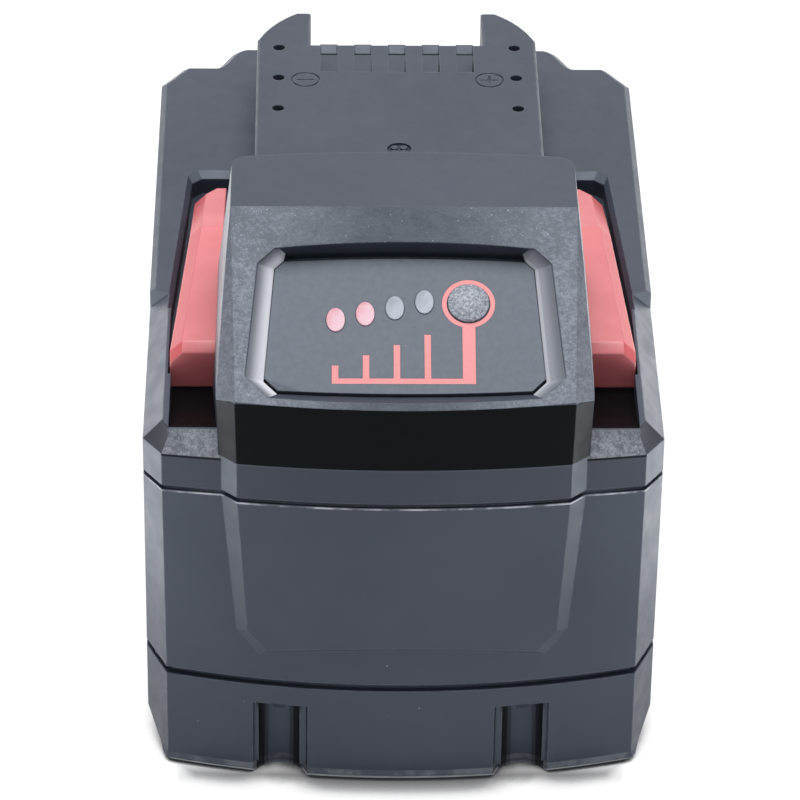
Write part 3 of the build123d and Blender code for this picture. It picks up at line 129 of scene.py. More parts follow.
def plain_size(tree, value):
    """A value without its sign."""
    return sums(tree, "ABSOLUTE", value)


def ramp(tree, value, low, high, start=0.0, end=1.0):
    """A value mapped smoothly from one range to another."""
    node = tree.nodes.new("ShaderNodeMapRange")
    node.interpolation_type = "SMOOTHSTEP"
    feed(tree, node.inputs["Value"], value)
    node.inputs["From Min"].default_value = low
    node.inputs["From Max"].default_value = high
    node.inputs["To Min"].default_value = start
    node.inputs["To Max"].default_value = end
    return node.outputs["Result"]


def evened(tree, value, start=0.0, end=1.0):
    """A noise spread over the whole of a range."""
    return ramp(tree, value, *NOISE_SPREAD, start, end)


def over_mm(tree, length, limits, base=0.0, start=0.0, end=1.0):
    """A length mapped from a range that is given in millimetres from a base."""
    low, high = limits
    return ramp(tree, length, base + low * MM, base + high * MM, start, end)


def inside(tree, value, limits, edge):
    """One where a value lies between two limits, and zero outside them."""
    low, high = limits
    rise = ramp(tree, value, low - edge, low)
    fall = ramp(tree, value, high, high + edge, 1.0, 0.0)
    return times(tree, rise, fall)


def inside_mm(tree, length, limits, edge, base=0.0):
    """The same for a length and limits in millimetres from a base."""
    metres = [base + limit * MM for limit in limits]
    return inside(tree, length, metres, edge * MM)


def blend_colours(tree, share, first, second):
    """Two colours mixed by a share."""
    node = tree.nodes.new("ShaderNodeMix")
    node.data_type = "RGBA"
    feed(tree, node.inputs["Factor"], share)
    feed(tree, node.inputs["A"], first)
    feed(tree, node.inputs["B"], second)
    return node.outputs["Result"]


def tinted(tree, colour, tint, mask, share):
    """A colour with a tint laid over it where a mask is one, by a share at most."""
    return blend_colours(tree, times(tree, mask, share), colour, tint)


def place(tree, stretch=(1, 1, 1)):
    """Coordinates on the piece, in metres, stretched along each axis."""
    coords = tree.nodes.new("ShaderNodeTexCoord")
    mapping = tree.nodes.new("ShaderNodeMapping")
    mapping.inputs["Scale"].default_value = stretch
    tree.links.new(coords.outputs["Object"], mapping.inputs["Vector"])
    return mapping.outputs["Vector"]


def noise(tree, size_mm, detail=3.0, roughness=0.5, stretch=(1, 1, 1)):
    """Noise whose grains are about so many millimetres across."""
    node = tree.nodes.new("ShaderNodeTexNoise")
    tree.links.new(place(tree, stretch), node.inputs["Vector"])
    node.inputs["Scale"].default_value = 1 / (size_mm * MM)
    node.inputs["Detail"].default_value = detail
    node.inputs["Roughness"].default_value = roughness
    return node.outputs["Fac"]


def cells(tree, size_mm, output="Distance"):
    """Scattered cells about so many millimetres apart."""
    node = tree.nodes.new("ShaderNodeTexVoronoi")
    tree.links.new(place(tree), node.inputs["Vector"])
    node.inputs["Scale"].default_value = 1 / (size_mm * MM)
    return node.outputs[output]


def specks(tree, spacing_mm, radius_share, chance):
    """Round specks in a few of the cells of a scattered grid."""
    distance = cells(tree, spacing_mm)
    split = tree.nodes.new("ShaderNodeSeparateColor")
    tree.links.new(cells(tree, spacing_mm, "Color"), split.inputs["Color"])
    chosen = sums(tree, "LESS_THAN", split.outputs["Red"], chance)
    near = ramp(tree, distance, radius_share * SPECK_CORE, radius_share, 1.0, 0.0)
    return times(tree, near, chosen)


def split_axes(tree, vector):
    """A vector split into its X, Y and Z."""
    split = tree.nodes.new("ShaderNodeSeparateXYZ")
    tree.links.new(vector, split.inputs["Vector"])
    return split.outputs


def position(tree):
    """The place on the piece, split into X, Y and Z."""
    return split_axes(tree, place(tree))


def facing(tree):
    """The direction the surface faces, split into X, Y and Z."""
    geometry = tree.nodes.new("ShaderNodeNewGeometry")
    return split_axes(tree, geometry.outputs["True Normal"])


def softened_edges(tree, radius_mm):
    """Normals rounded over the edges, and a mask of where the edges are."""
    bevel = tree.nodes.new("ShaderNodeBevel")
    bevel.samples = EDGE_SAMPLES
    bevel.inputs["Radius"].default_value = radius_mm * MM
    geometry = tree.nodes.new("ShaderNodeNewGeometry")
    dot = tree.nodes.new("ShaderNodeVectorMath")
    dot.operation = "DOT_PRODUCT"
    tree.links.new(bevel.outputs["Normal"], dot.inputs[0])
    tree.links.new(geometry.outputs["True Normal"], dot.inputs[1])
    mask = ramp(tree, dot.outputs["Value"], *EDGE_BEND, 1.0, 0.0)
    return bevel.outputs["Normal"], mask


def bumped(tree, height, depth_mm, strength, normal=None):
    """A bump of so many millimetres on top of a given normal."""
    node = tree.nodes.new("ShaderNodeBump")
    feed(tree, node.inputs["Height"], height)
    feed(tree, node.inputs["Strength"], strength)
    node.inputs["Distance"].default_value = depth_mm * MM
    if normal is not None:
        tree.links.new(normal, node.inputs["Normal"])
    return node.outputs["Normal"]


def finish_with(tree, shader, colour, rough, normal, sheen=(1, 1, 1, 1)):
    """Gives the shader its colour, roughness, normal and the tint of its sheen."""
    feed(tree, shader.inputs["Base Color"], colour)
    feed(tree, shader.inputs["Roughness"], rough)
    feed(tree, shader.inputs["Normal"], normal)
    shader.inputs["Specular Tint"].default_value = sheen


# Colours are given as they look on a screen. These numbers turn them into amounts of light.

SCREEN_WHITE = 255
TOE_END = 0.04045
TOE_SLOPE = 12.92
CURVE_OFFSET = 0.055
CURVE_POWER = 2.4


def rgb(red, green, blue):
    """A colour given as it looks on a screen, from 0 to 255, as a linear one."""
    def linear(value):
        share = value / SCREEN_WHITE
        if share <= TOE_END:
            return share / TOE_SLOPE
        return ((share + CURVE_OFFSET) / (1 + CURVE_OFFSET)) ** CURVE_POWER
    return (linear(red), linear(green), linear(blue), 1.0)


# Housing plastic: dark grey, fine-grained, with coarse textured zones and a black band

HOUSING_DARK = rgb(50, 55, 67)
HOUSING_LIGHT = rgb(57, 62, 75)
# Lighter edges: partly wear, partly a painted highlight
EDGE_WEAR_AND_HIGHLIGHT = rgb(98, 104, 116)
SLOPE_MIDDLE_DARK = rgb(40, 43, 52)
SLOPE_MIDDLE_LIGHT = rgb(58, 62, 71)
SLOPE_SIDE_DARK = rgb(84, 88, 98)
SLOPE_SIDE_LIGHT = rgb(132, 137, 148)
SHOULDER_DARK = rgb(92, 95, 103)
SHOULDER_LIGHT = rgb(158, 162, 170)
SPARKLE = rgb(200, 204, 212)
# The recess's sides: a painted highlight, from grey to near white
RECESS_PAINTED_HIGHLIGHT_LOW = rgb(118, 122, 132)
RECESS_PAINTED_HIGHLIGHT_HIGH = rgb(236, 239, 246)
# The band's own black, also used for painted shade
BAND_AND_PAINTED_SHADE_BLACK = rgb(12, 13, 15)
COOL_SHEEN = (0.80, 0.90, 1.0, 1.0)
DUST = rgb(170, 174, 182)

# Where the housings' finishes change: lengths in millimetres, from the middle, the front face,
# the table or the slope's surface

SLOPE_SKIN = (-0.2, 0.4)
SLOPE_LIGHTER_SIDES = (3, 25)
SLOPE_TOP_FADE = (84, 91)
FACET_BOTTOM = 72.5
RECESS_DEPTHS = (-3.1, -0.25)
RECESS_FADE = (-2.7, -0.2)
RECESS_RIM = (-3.1, -2.5)
RECESS_HALF_WIDTH = 26.2
RECESS_MIDDLE = (-5, 5)
SHOULDER_HEIGHTS = (62.1, 66.0)
CORNER_HEIGHTS = (62.1, 65.9)
SCOOP_ACROSS = (29.0, 38.0)
SCOOP_ALONG = (7.9, 24.5)
SCOOP_HEIGHTS = (61.9, 65.9)
SKIRT_HEIGHTS = (55.9, 62.2)
# A painted shadow line under the textured shoulders
PAINTED_SHADOW_LINE_HEIGHTS = (61.65, 62.1)
PAINTED_SHADOW_LINE_START = (27, 29)
BAND_HEIGHTS = (62.6, 74.6)
BAND_DEPTH = 5
POCKET_ACROSS = (16.4, 23.8)
POCKET_ALONG = (0.6, 8)
POCKET_TOP = 14.7
POCKET_ROOF = (12.6, 14.4)
CRISP_EDGE = 0.1
SOFT_EDGE = 0.15
WIDE_EDGE = 0.2
WIDEST_EDGE = 0.4

# Which way the faces of these zones look, as parts of a unit vector

SLOPE_UP = (0.83, 0.88)
SLOPE_UP_EDGE = 0.01
FACET_UP = (0.56, 0.68)
FACET_SIDEWAYS = (0.60, 0.72)
STEEP_UP = (0.3, 0.85)
NEITHER_WAY = (-0.3, 0.3)
SHOULDER_FORWARD = -0.3
CORNER_SIDEWAYS = (0.32, 0.8)
CORNER_FORWARD = -0.2
RECESS_SIDEWAYS = (0.25, 0.35)
POCKET_SIDEWAYS = (0.25, 0.6)
SKIRT_FORWARD = -0.9
BAND_FORWARD = (-0.93, -0.90)
BAND_CORNER_FORWARD = (-0.62, -0.60)
SCOOP_UPWARD = 0.5
GLINT_FORWARD = -0.25
TURN_EDGE = 0.02

# How strongly each zone shows

FACET_SHARE = 0.7
# The painted highlight on the recess's sides: what stays of it on the right, and its band at the
# foot
RECESS_RIGHT_PAINTED_HIGHLIGHT = 0.36
RECESS_RIM_PAINTED_HIGHLIGHT = 0.25
POCKET_ROOF_PAINTED_SHADE = 0.6
POCKET_PAINTED_SHADE_SHARE = 0.85
SKIRT_PAINTED_SHADE_SHARE = 0.35
PAINTED_SHADE_SHARE = 0.6
PAINTED_SHADOW_LINE_SHARE = 0.85
BAND_CORNER_SHARE = 0.9


def above_slope(tree, at):
    """Distance out of the slope's surface."""
    along = sums(tree, "SUBTRACT", at["Y"], front)
    above = sums(tree, "SUBTRACT", at["Z"], RIM_LEVEL)
    out_y = times(tree, along, -math.sin(SLOPE_ANGLE))
    out_z = times(tree, above, math.cos(SLOPE_ANGLE))
    return sums(tree, "ADD", out_y, out_z)


def slope_zone(tree):
    """One on the textured slope round the gauge, and less on the facets at its sides."""
    at = position(tree)
    turned = facing(tree)
    on_plane = inside_mm(tree, above_slope(tree, at), SLOPE_SKIN, CRISP_EDGE)
    tilt = inside(tree, turned["Z"], SLOPE_UP, SLOPE_UP_EDGE)
    sideways = inside(tree, plain_size(tree, turned["X"]), FACET_SIDEWAYS, TURN_EDGE)
    leaning = inside(tree, turned["Z"], FACET_UP, TURN_EDGE)
    high = sums(tree, "GREATER_THAN", at["Z"], FACET_BOTTOM * MM)
    facet = times(tree, sideways, leaning, high, FACET_SHARE)
    return greatest(tree, times(tree, on_plane, tilt), facet)


def shoulder_zone(tree):
    """One on the textured front slopes of the shoulders."""
    turned = facing(tree)
    height = inside_mm(tree, position(tree)["Z"], SHOULDER_HEIGHTS, CRISP_EDGE)
    steep = inside(tree, turned["Z"], STEEP_UP, TURN_EDGE)
    straight = inside(tree, turned["X"], NEITHER_WAY, TURN_EDGE)
    forward = sums(tree, "LESS_THAN", turned["Y"], SHOULDER_FORWARD)
    return times(tree, height, steep, straight, forward)


def corner_shade_zone(tree):
    """One on the slanted corners beside the textured front slopes of the shoulders, where shade
    is painted.
    """
    turned = facing(tree)
    height = inside_mm(tree, position(tree)["Z"], CORNER_HEIGHTS, CRISP_EDGE)
    steep = inside(tree, turned["Z"], STEEP_UP, TURN_EDGE)
    sideways = inside(tree, plain_size(tree, turned["X"]), CORNER_SIDEWAYS, TURN_EDGE)
    forward = sums(tree, "LESS_THAN", turned["Y"], CORNER_FORWARD)
    return times(tree, height, steep, sideways, forward)


def recess_zone(tree):
    """One on the smooth slanted sides of the gauge's recess, and the painted highlight on them.
    """
    at = position(tree)
    above = above_slope(tree, at)
    sunk = inside_mm(tree, above, RECESS_DEPTHS, CRISP_EDGE)
    sideways = ramp(tree, plain_size(tree, facing(tree)["X"]), *RECESS_SIDEWAYS)
    between = sums(tree, "LESS_THAN", plain_size(tree, at["X"]), RECESS_HALF_WIDTH * MM)
    # Painted highlight: brighter deep in the recess, on the left, and in a band at its foot
    depth = over_mm(tree, above, RECESS_FADE, start=1.0, end=0.0)
    side = over_mm(tree, at["X"], RECESS_MIDDLE, start=1.0, end=RECESS_RIGHT_PAINTED_HIGHLIGHT)
    rim = inside_mm(tree, above, RECESS_RIM, SOFT_EDGE)
    rim_painted_highlight = times(tree, rim, RECESS_RIM_PAINTED_HIGHLIGHT)
    light = sums(tree, "ADD", times(tree, depth, side), rim_painted_highlight, clamp=True)
    return times(tree, sunk, sideways, between), light


def pocket_shade_zone(tree):
    """One where shade is painted on the sides and under the roof of the half-round pockets in the
    base.
    """
    at = position(tree)
    across = inside_mm(tree, plain_size(tree, at["X"]), POCKET_ACROSS, CRISP_EDGE)
    inward = inside_mm(tree, at["Y"], POCKET_ALONG, WIDE_EDGE, base=front)
    low = sums(tree, "LESS_THAN", at["Z"], POCKET_TOP * MM)
    sideways = ramp(tree, plain_size(tree, facing(tree)["X"]), *POCKET_SIDEWAYS)
    roof = over_mm(tree, at["Z"], POCKET_ROOF, end=POCKET_ROOF_PAINTED_SHADE)
    return times(tree, across, inward, low, greatest(tree, sideways, roof))


def skirt_zone(tree):
    """One on the upright front of the skirt, where shade is painted, and one on the painted
    shadow line above it.
    """
    at = position(tree)
    turned = facing(tree)
    forward = sums(tree, "LESS_THAN", turned["Y"], SKIRT_FORWARD)
    upright = inside(tree, turned["Z"], NEITHER_WAY, TURN_EDGE)
    face = times(tree, forward, upright)
    outside = over_mm(tree, plain_size(tree, at["X"]), PAINTED_SHADOW_LINE_START)
    height = inside_mm(tree, at["Z"], SKIRT_HEIGHTS, CRISP_EDGE)
    # The painted shadow line
    line = inside_mm(tree, at["Z"], PAINTED_SHADOW_LINE_HEIGHTS, CRISP_EDGE)
    return times(tree, face, height), times(tree, face, line, outside)


def scoop_shade_zone(tree):
    """One in the thumb scoops in front of the release buttons, where shade is painted black."""
    at = position(tree)
    across = inside_mm(tree, plain_size(tree, at["X"]), SCOOP_ACROSS, WIDE_EDGE)
    along = inside_mm(tree, at["Y"], SCOOP_ALONG, WIDEST_EDGE, base=front)
    height = inside_mm(tree, at["Z"], SCOOP_HEIGHTS, CRISP_EDGE)
    upward = sums(tree, "GREATER_THAN", facing(tree)["Z"], SCOOP_UPWARD)
    return times(tree, across, along, height, upward)


def band_zone(tree):
    """One on the smooth black band under the gauge block's rim, and less on its corner strips."""
    at = position(tree)
    turned = facing(tree)
    height = inside_mm(tree, at["Z"], BAND_HEIGHTS, SOFT_EDGE)
    forward = ramp(tree, turned["Y"], *BAND_FORWARD, 1.0, 0.0)
    corner = ramp(tree, turned["Y"], *BAND_CORNER_FORWARD, BAND_CORNER_SHARE, 0.0)
    near = sums(tree, "LESS_THAN", at["Y"], front + BAND_DEPTH * MM)
    return times(tree, height, greatest(tree, forward, corner), near)


# The coarse texture of the slopes

CRUMB_HEIGHT = 0.6
TEXTURE_HEIGHTS = (0.62, 1.02)
TEXTURE_TONE = 0.75
TOP_FADE = -0.35
TEXTURE_BUMP = 0.55


def textured(tree, colour, normal):
    """The textured zones: their colour, normal and mask on top of the plain plastic."""
    shoulder = shoulder_zone(tree)
    zone = greatest(tree, slope_zone(tree), shoulder)
    leather = noise(tree, size_mm=0.75, detail=4, roughness=0.7)
    crumb = noise(tree, size_mm=0.30, detail=2, roughness=0.6)
    patch = noise(tree, size_mm=3.2, detail=3, roughness=0.6)
    height = sums(tree, "ADD", leather, times(tree, crumb, CRUMB_HEIGHT))
    fine_tone = times(tree, ramp(tree, height, *TEXTURE_HEIGHTS), TEXTURE_TONE)
    patch_tone = ramp(tree, patch, low=0.35, high=0.7, start=-0.05, end=0.30)
    tone = sums(tree, "ADD", fine_tone, patch_tone, clamp=True)
    sparkle = specks(tree, spacing_mm=0.45, radius_share=0.34, chance=0.10)
    sparkle = times(tree, sparkle, ramp(tree, crumb, low=0.5, high=0.62))
    at = position(tree)
    fade = over_mm(tree, at["Z"], SLOPE_TOP_FADE, end=TOP_FADE)
    slope_tone = sums(tree, "ADD", tone, fade, clamp=True)
    middle_colour = blend_colours(tree, slope_tone, SLOPE_MIDDLE_DARK, SLOPE_MIDDLE_LIGHT)
    side_colour = blend_colours(tree, slope_tone, SLOPE_SIDE_DARK, SLOPE_SIDE_LIGHT)
    # The textured slope is lighter towards its sides
    toward_sides = over_mm(tree, plain_size(tree, at["X"]), SLOPE_LIGHTER_SIDES)
    slope_colour = blend_colours(tree, toward_sides, middle_colour, side_colour)
    shoulder_colour = blend_colours(tree, tone, SHOULDER_DARK, SHOULDER_LIGHT)
    ground = blend_colours(tree, shoulder, slope_colour, shoulder_colour)
    ground = tinted(tree, ground, SPARKLE, sparkle, share=0.5)
    strength = times(tree, zone, TEXTURE_BUMP)
    normal = bumped(tree, height, depth_mm=0.20, strength=strength, normal=normal)
    return blend_colours(tree, zone, colour, ground), normal, zone


# Gloss of the housings: the plain plastic, what stays of it in black places, and how much
# smoother or rougher each zone is

PLAIN_GLOSS = 0.5
LEAST_GLOSS = 0.06
BLACK_SMOOTHER = -0.12
TEXTURE_ROUGHER = 0.06
RECESS_SMOOTHER = -0.12


def paint_edge_glint(tree, colour, low, high, least, most):
    """A front edge between two heights, in millimetres, with a painted highlight along it in
    patches.
    """
    height = inside_mm(tree, position(tree)["Z"], (low, high), edge=0.08)
    forward = sums(tree, "LESS_THAN", facing(tree)["Y"], GLINT_FORWARD)
    patches = noise(tree, size_mm=5, detail=3, roughness=0.6)
    share = ramp(tree, patches, low=0.40, high=0.62, start=least, end=most)
    return blend_colours(tree, times(tree, height, forward, share), colour, SPARKLE)


def paint_pocket_shade(tree, shader, colour):
    """The base's pockets, with shade painted dark inside them, and dull."""
    pocket_shade = times(tree, pocket_shade_zone(tree), POCKET_PAINTED_SHADE_SHARE)
    kept = sums(tree, "SUBTRACT", 1.0, pocket_shade)
    feed(tree, shader.inputs["Specular IOR Level"], times(tree, kept, PLAIN_GLOSS))
    return blend_colours(tree, pocket_shade, colour, BAND_AND_PAINTED_SHADE_BLACK)


def painted_zones(tree, shader, colour, rough, texture):
    """The recess with its painted highlight, the painted shade on the skirt and corners, the
    black band, the painted shade in the scoops and the painted shadow line.
    """
    # The recess's sides get a painted highlight
    recess, light = recess_zone(tree)
    recess_painted_highlight = blend_colours(tree, light, RECESS_PAINTED_HIGHLIGHT_LOW, RECESS_PAINTED_HIGHLIGHT_HIGH)
    colour = blend_colours(tree, recess, colour, recess_painted_highlight)
    skirt, line = skirt_zone(tree)
    # Painted shade on the skirt's front and on the shoulders' corners
    shaded = greatest(tree, times(tree, skirt, SKIRT_PAINTED_SHADE_SHARE), corner_shade_zone(tree))
    shade = times(tree, shaded, PAINTED_SHADE_SHARE)
    # Black: the band's own colour, and painted shade in the scoops and on the shadow line
    black = greatest(tree, band_zone(tree), scoop_shade_zone(tree), times(tree, line, PAINTED_SHADOW_LINE_SHARE))
    colour = blend_colours(tree, shade, colour, BAND_AND_PAINTED_SHADE_BLACK)
    colour = blend_colours(tree, black, colour, BAND_AND_PAINTED_SHADE_BLACK)
    for mask, change in (
        (black, BLACK_SMOOTHER),
        (texture, TEXTURE_ROUGHER),
        (recess, RECESS_SMOOTHER),
    ):
        rough = sums(tree, "ADD", rough, times(tree, mask, change))
    kept = sums(tree, "SUBTRACT", 1.0, greatest(tree, black, shade))
    gloss = sums(tree, "ADD", times(tree, kept, PLAIN_GLOSS), LEAST_GLOSS)
    feed(tree, shader.inputs["Specular IOR Level"], gloss)
    return colour, rough


def housing_plastic(name, zones=False, pockets=False, dust_chance=0.0, glint=None):
    """Moulded housing plastic. Zones adds the textured slopes, the recess with a painted
    highlight on its sides, painted shade on the skirt, corners, scoops and a shadow line, and the
    black band. The pocket option paints shade into the base's pockets, and the glint option gives
    the heights between which a front edge carries a painted highlight, in millimetres, and its
    least and greatest strength."""
    material, tree, shader = new_material(name)
    rounded, edges = softened_edges(tree, radius_mm=0.35)
    drift = evened(tree, noise(tree, size_mm=28, detail=2))
    grain = noise(tree, size_mm=0.22, detail=2, roughness=0.6)
    mottle = noise(tree, size_mm=3.5, detail=4, roughness=0.55)
    scuffs = noise(tree, size_mm=1.6, detail=4, roughness=0.7)
    colour = blend_colours(tree, drift, HOUSING_DARK, HOUSING_LIGHT)
    rough = evened(tree, mottle, start=0.40, end=0.50)
    normal = bumped(tree, grain, depth_mm=0.03, strength=0.10, normal=rounded)
    if dust_chance:
        dust = specks(tree, spacing_mm=2.6, radius_share=0.07, chance=dust_chance)
        colour = tinted(tree, colour, DUST, dust, share=0.55)
    if zones:
        colour, normal, texture = textured(tree, colour, normal)
    # Edges lightened in patches: wear, and a painted highlight
    wear_and_highlight = times(tree, edges, ramp(tree, scuffs, low=0.38, high=0.62, start=0.25))
    colour = tinted(tree, colour, EDGE_WEAR_AND_HIGHLIGHT, wear_and_highlight, share=0.75)
    # A painted highlight along a front edge
    if glint:
        colour = paint_edge_glint(tree, colour, **glint)
    # Painted shade in the base's pockets
    if pockets:
        colour = paint_pocket_shade(tree, shader, colour)
    if zones:
        colour, rough = painted_zones(tree, shader, colour, rough, texture)
    finish_with(tree, shader, colour, rough, normal, COOL_SHEEN)
    return material


# The gauge: panel, print, lenses and the cap of the push button

PANEL_DARK = rgb(76, 81, 91)
PANEL_LIGHT = rgb(84, 89, 99)
PANEL_GRAIN = rgb(112, 117, 126)
CORAL_DARK = rgb(224, 128, 130)
CORAL_LIGHT = rgb(232, 138, 140)
CAP_DARK = rgb(112, 117, 128)
CAP_LIGHT = rgb(170, 176, 188)
CAP_SPECK = rgb(212, 216, 224)
LENS_DEPTH_SHARE = 0.25
LENS_DEPTH = (0.6 * MM, 0.3 * MM, 0.3 * MM)


def gauge_plastic():
    """The gauge panel: smooth, with a very fine sandy grain."""
    material, tree, shader = new_material("gauge_panel_plastic")
    rounded, edges = softened_edges(tree, radius_mm=0.2)
    grain = noise(tree, size_mm=0.16, detail=2, roughness=0.7)
    patch = noise(tree, size_mm=1.1, detail=3, roughness=0.6)
    dust = specks(tree, spacing_mm=1.9, radius_share=0.06, chance=0.10)
    colour = blend_colours(tree, evened(tree, patch), PANEL_DARK, PANEL_LIGHT)
    sandy = ramp(tree, grain, low=0.62, high=0.8)
    colour = tinted(tree, colour, PANEL_GRAIN, sandy, share=0.35)
    colour = tinted(tree, colour, DUST, dust, share=0.45)
    # Edges lightened: wear, and a painted highlight
    colour = tinted(tree, colour, EDGE_WEAR_AND_HIGHLIGHT, edges, share=0.5)
    normal = bumped(tree, grain, depth_mm=0.03, strength=0.16, normal=rounded)
    finish_with(tree, shader, colour, rough=0.46, normal=normal, sheen=COOL_SHEEN)
    return material


def print_red():
    """The coral print of the bar chart."""
    material, tree, shader = new_material("coral_print")
    grain = noise(tree, size_mm=0.18, detail=2, roughness=0.6)
    colour = blend_colours(tree, evened(tree, grain), CORAL_DARK, CORAL_LIGHT)
    normal = bumped(tree, grain, depth_mm=0.02, strength=0.1)
    finish_with(tree, shader, colour, rough=0.42, normal=normal)
    return material


def lens_plastic(name, middle, rim, glow_colour=None, glow=0.0):
    """A milky oval lens, lighter towards its lower edge and at its rim."""
    material, tree, shader = new_material(name)
    coords = tree.nodes.new("ShaderNodeTexCoord")
    at = split_axes(tree, coords.outputs["Generated"])
    slanted = sums(tree, "SUBTRACT", at["X"], at["Y"])
    uneven = sums(tree, "ADD", slanted, noise(tree, size_mm=0.9, detail=2))
    colour = blend_colours(tree, ramp(tree, uneven, low=0.0, high=1.0), middle, rim)
    rounded, edges = softened_edges(tree, radius_mm=0.3)
    colour = tinted(tree, colour, rim, edges, share=0.6)
    grain = noise(tree, size_mm=0.2, detail=2)
    normal = bumped(tree, grain, depth_mm=0.02, strength=0.12, normal=rounded)
    finish_with(tree, shader, colour, rough=0.28, normal=normal)
    shader.inputs["Subsurface Weight"].default_value = LENS_DEPTH_SHARE
    shader.inputs["Subsurface Radius"].default_value = LENS_DEPTH
    shader.inputs["Subsurface Scale"].default_value = 1.0
    if glow:
        shader.inputs["Emission Color"].default_value = glow_colour
        shader.inputs["Emission Strength"].default_value = glow
    return material


def cap_rubber():
    """The push button's cap: grey rubber with pale specks."""
    material, tree, shader = new_material("gauge_cap_rubber")
    rounded = softened_edges(tree, radius_mm=0.2)[0]
    coarse = noise(tree, size_mm=0.42, detail=3, roughness=0.65)
    pale = specks(tree, spacing_mm=0.5, radius_share=0.36, chance=0.45)
    colour = blend_colours(tree, ramp(tree, coarse, low=0.35, high=0.65), CAP_DARK, CAP_LIGHT)
    colour = tinted(tree, colour, CAP_SPECK, pale, share=0.6)
    normal = bumped(tree, coarse, depth_mm=0.12, strength=0.45, normal=rounded)
    finish_with(tree, shader, colour, rough=0.5, normal=normal)
    return material


# The release buttons

RELEASE_DARK = rgb(216, 112, 117)
RELEASE_LIGHT = rgb(224, 122, 127)
RELEASE_SIDE_PAINTED_SHADE = rgb(196, 74, 80)
RELEASE_EDGE_WEAR_AND_HIGHLIGHT = rgb(236, 140, 144)
RELEASE_PAINTED_SHADE_TURN = (0.3, 0.6)
RELEASE_GLOSS = 0.9


def release_red():
    """The red of the release buttons, matt and slightly uneven, with shade painted deeper red on
    the sides.
    """
    material, tree, shader = new_material("release_button_red")
    rounded, edges = softened_edges(tree, radius_mm=0.5)
    drift = evened(tree, noise(tree, size_mm=7, detail=3))
    grain = noise(tree, size_mm=0.28, detail=3, roughness=0.6)
    # Painted shade: the sides deeper red
    sideways = ramp(tree, plain_size(tree, facing(tree)["X"]), *RELEASE_PAINTED_SHADE_TURN)
    colour = blend_colours(tree, drift, RELEASE_DARK, RELEASE_LIGHT)
    colour = blend_colours(tree, sideways, colour, RELEASE_SIDE_PAINTED_SHADE)
    # Edges lightened: wear, and a painted highlight
    colour = tinted(tree, colour, RELEASE_EDGE_WEAR_AND_HIGHLIGHT, edges, share=0.25)
    rough = evened(tree, grain, start=0.40, end=0.50)
    normal = bumped(tree, grain, depth_mm=0.03, strength=0.14, normal=rounded)
    finish_with(tree, shader, colour, rough, normal)
    shader.inputs["Specular IOR Level"].default_value = RELEASE_GLOSS
    return material


# Plain plastics, metals and what is inside the case

PLASTIC_ROUGH_SWING = 0.05
METAL_ROUGH_SWING = 0.07
BOARD_DARK = rgb(20, 84, 52)
BOARD_LIGHT = rgb(26, 98, 60)
BOARD_TRACK = rgb(46, 128, 78)
TRACK_PITCH = 2.2 * MM
TRACK_WIDTH = 0.06


def grained_plastic(name, dark, light, rough, edge=None):
    """A plain moulded plastic or rubber with fine grain and softened edges."""
    material, tree, shader = new_material(name)
    rounded, edges = softened_edges(tree, radius_mm=0.3)
    grain = noise(tree, size_mm=0.3, detail=3, roughness=0.6)
    drift = evened(tree, noise(tree, size_mm=9, detail=3))
    colour = blend_colours(tree, drift, dark, light)
    if edge is not None:
        scuffs = noise(tree, size_mm=2, detail=3, roughness=0.6)
        # Edges lightened in patches: wear, and a painted highlight
        wear_and_highlight = ramp(tree, scuffs, low=0.35, high=0.65, start=0.35)
        colour = blend_colours(tree, times(tree, edges, wear_and_highlight), colour, edge)
    least, most = rough - PLASTIC_ROUGH_SWING, rough + PLASTIC_ROUGH_SWING
    normal = bumped(tree, grain, depth_mm=0.05, strength=0.2, normal=rounded)
    finish_with(tree, shader, colour, evened(tree, grain, least, most), normal)
    return material


def metal(name, colour, second, rough, brushed=(1, 1, 1)):
    """A machined, plated or rolled metal with fine lines and slight tarnish."""
    material, tree, shader = new_material(name)
    rounded = softened_edges(tree, radius_mm=0.15)[0]
    lines = noise(tree, size_mm=1.2, detail=4, roughness=0.7, stretch=brushed)
    tarnish = evened(tree, noise(tree, size_mm=3, detail=3))
    least, most = rough - METAL_ROUGH_SWING, rough + METAL_ROUGH_SWING
    normal = bumped(tree, lines, depth_mm=0.02, strength=0.25, normal=rounded)
    tint = blend_colours(tree, tarnish, colour, second)
    finish_with(tree, shader, tint, evened(tree, lines, least, most), normal)
    shader.inputs["Metallic"].default_value = 1.0
    return material


def circuit_board():
    """Green solder mask over faint copper tracks."""
    material, tree, shader = new_material("circuit_board_green")
    tracks = tree.nodes.new("ShaderNodeTexBrick")
    tree.links.new(place(tree), tracks.inputs["Vector"])
    tracks.inputs["Scale"].default_value = 1 / TRACK_PITCH
    tracks.inputs["Mortar Size"].default_value = TRACK_WIDTH
    tracks.inputs["Color1"].default_value = BOARD_DARK
    tracks.inputs["Color2"].default_value = BOARD_LIGHT
    tracks.inputs["Mortar"].default_value = BOARD_TRACK
    normal = bumped(tree, tracks.outputs["Fac"], depth_mm=0.05, strength=0.3)
    finish_with(tree, shader, tracks.outputs["Color"], rough=0.32, normal=normal)
    return material


def cell_sleeve():
    """The shrink sleeve of the cells: glossy blue-green with faint wrinkles."""
    material, tree, shader = new_material("cell_sleeve_film")
    wrinkle = noise(tree, size_mm=5, detail=3, roughness=0.6, stretch=(0.3, 1, 1))
    colour = blend_colours(tree, evened(tree, wrinkle), rgb(30, 96, 116), rgb(38, 112, 130))
    normal = bumped(tree, wrinkle, depth_mm=0.15, strength=0.3)
    finish_with(tree, shader, colour, rough=0.25, normal=normal)
    return material


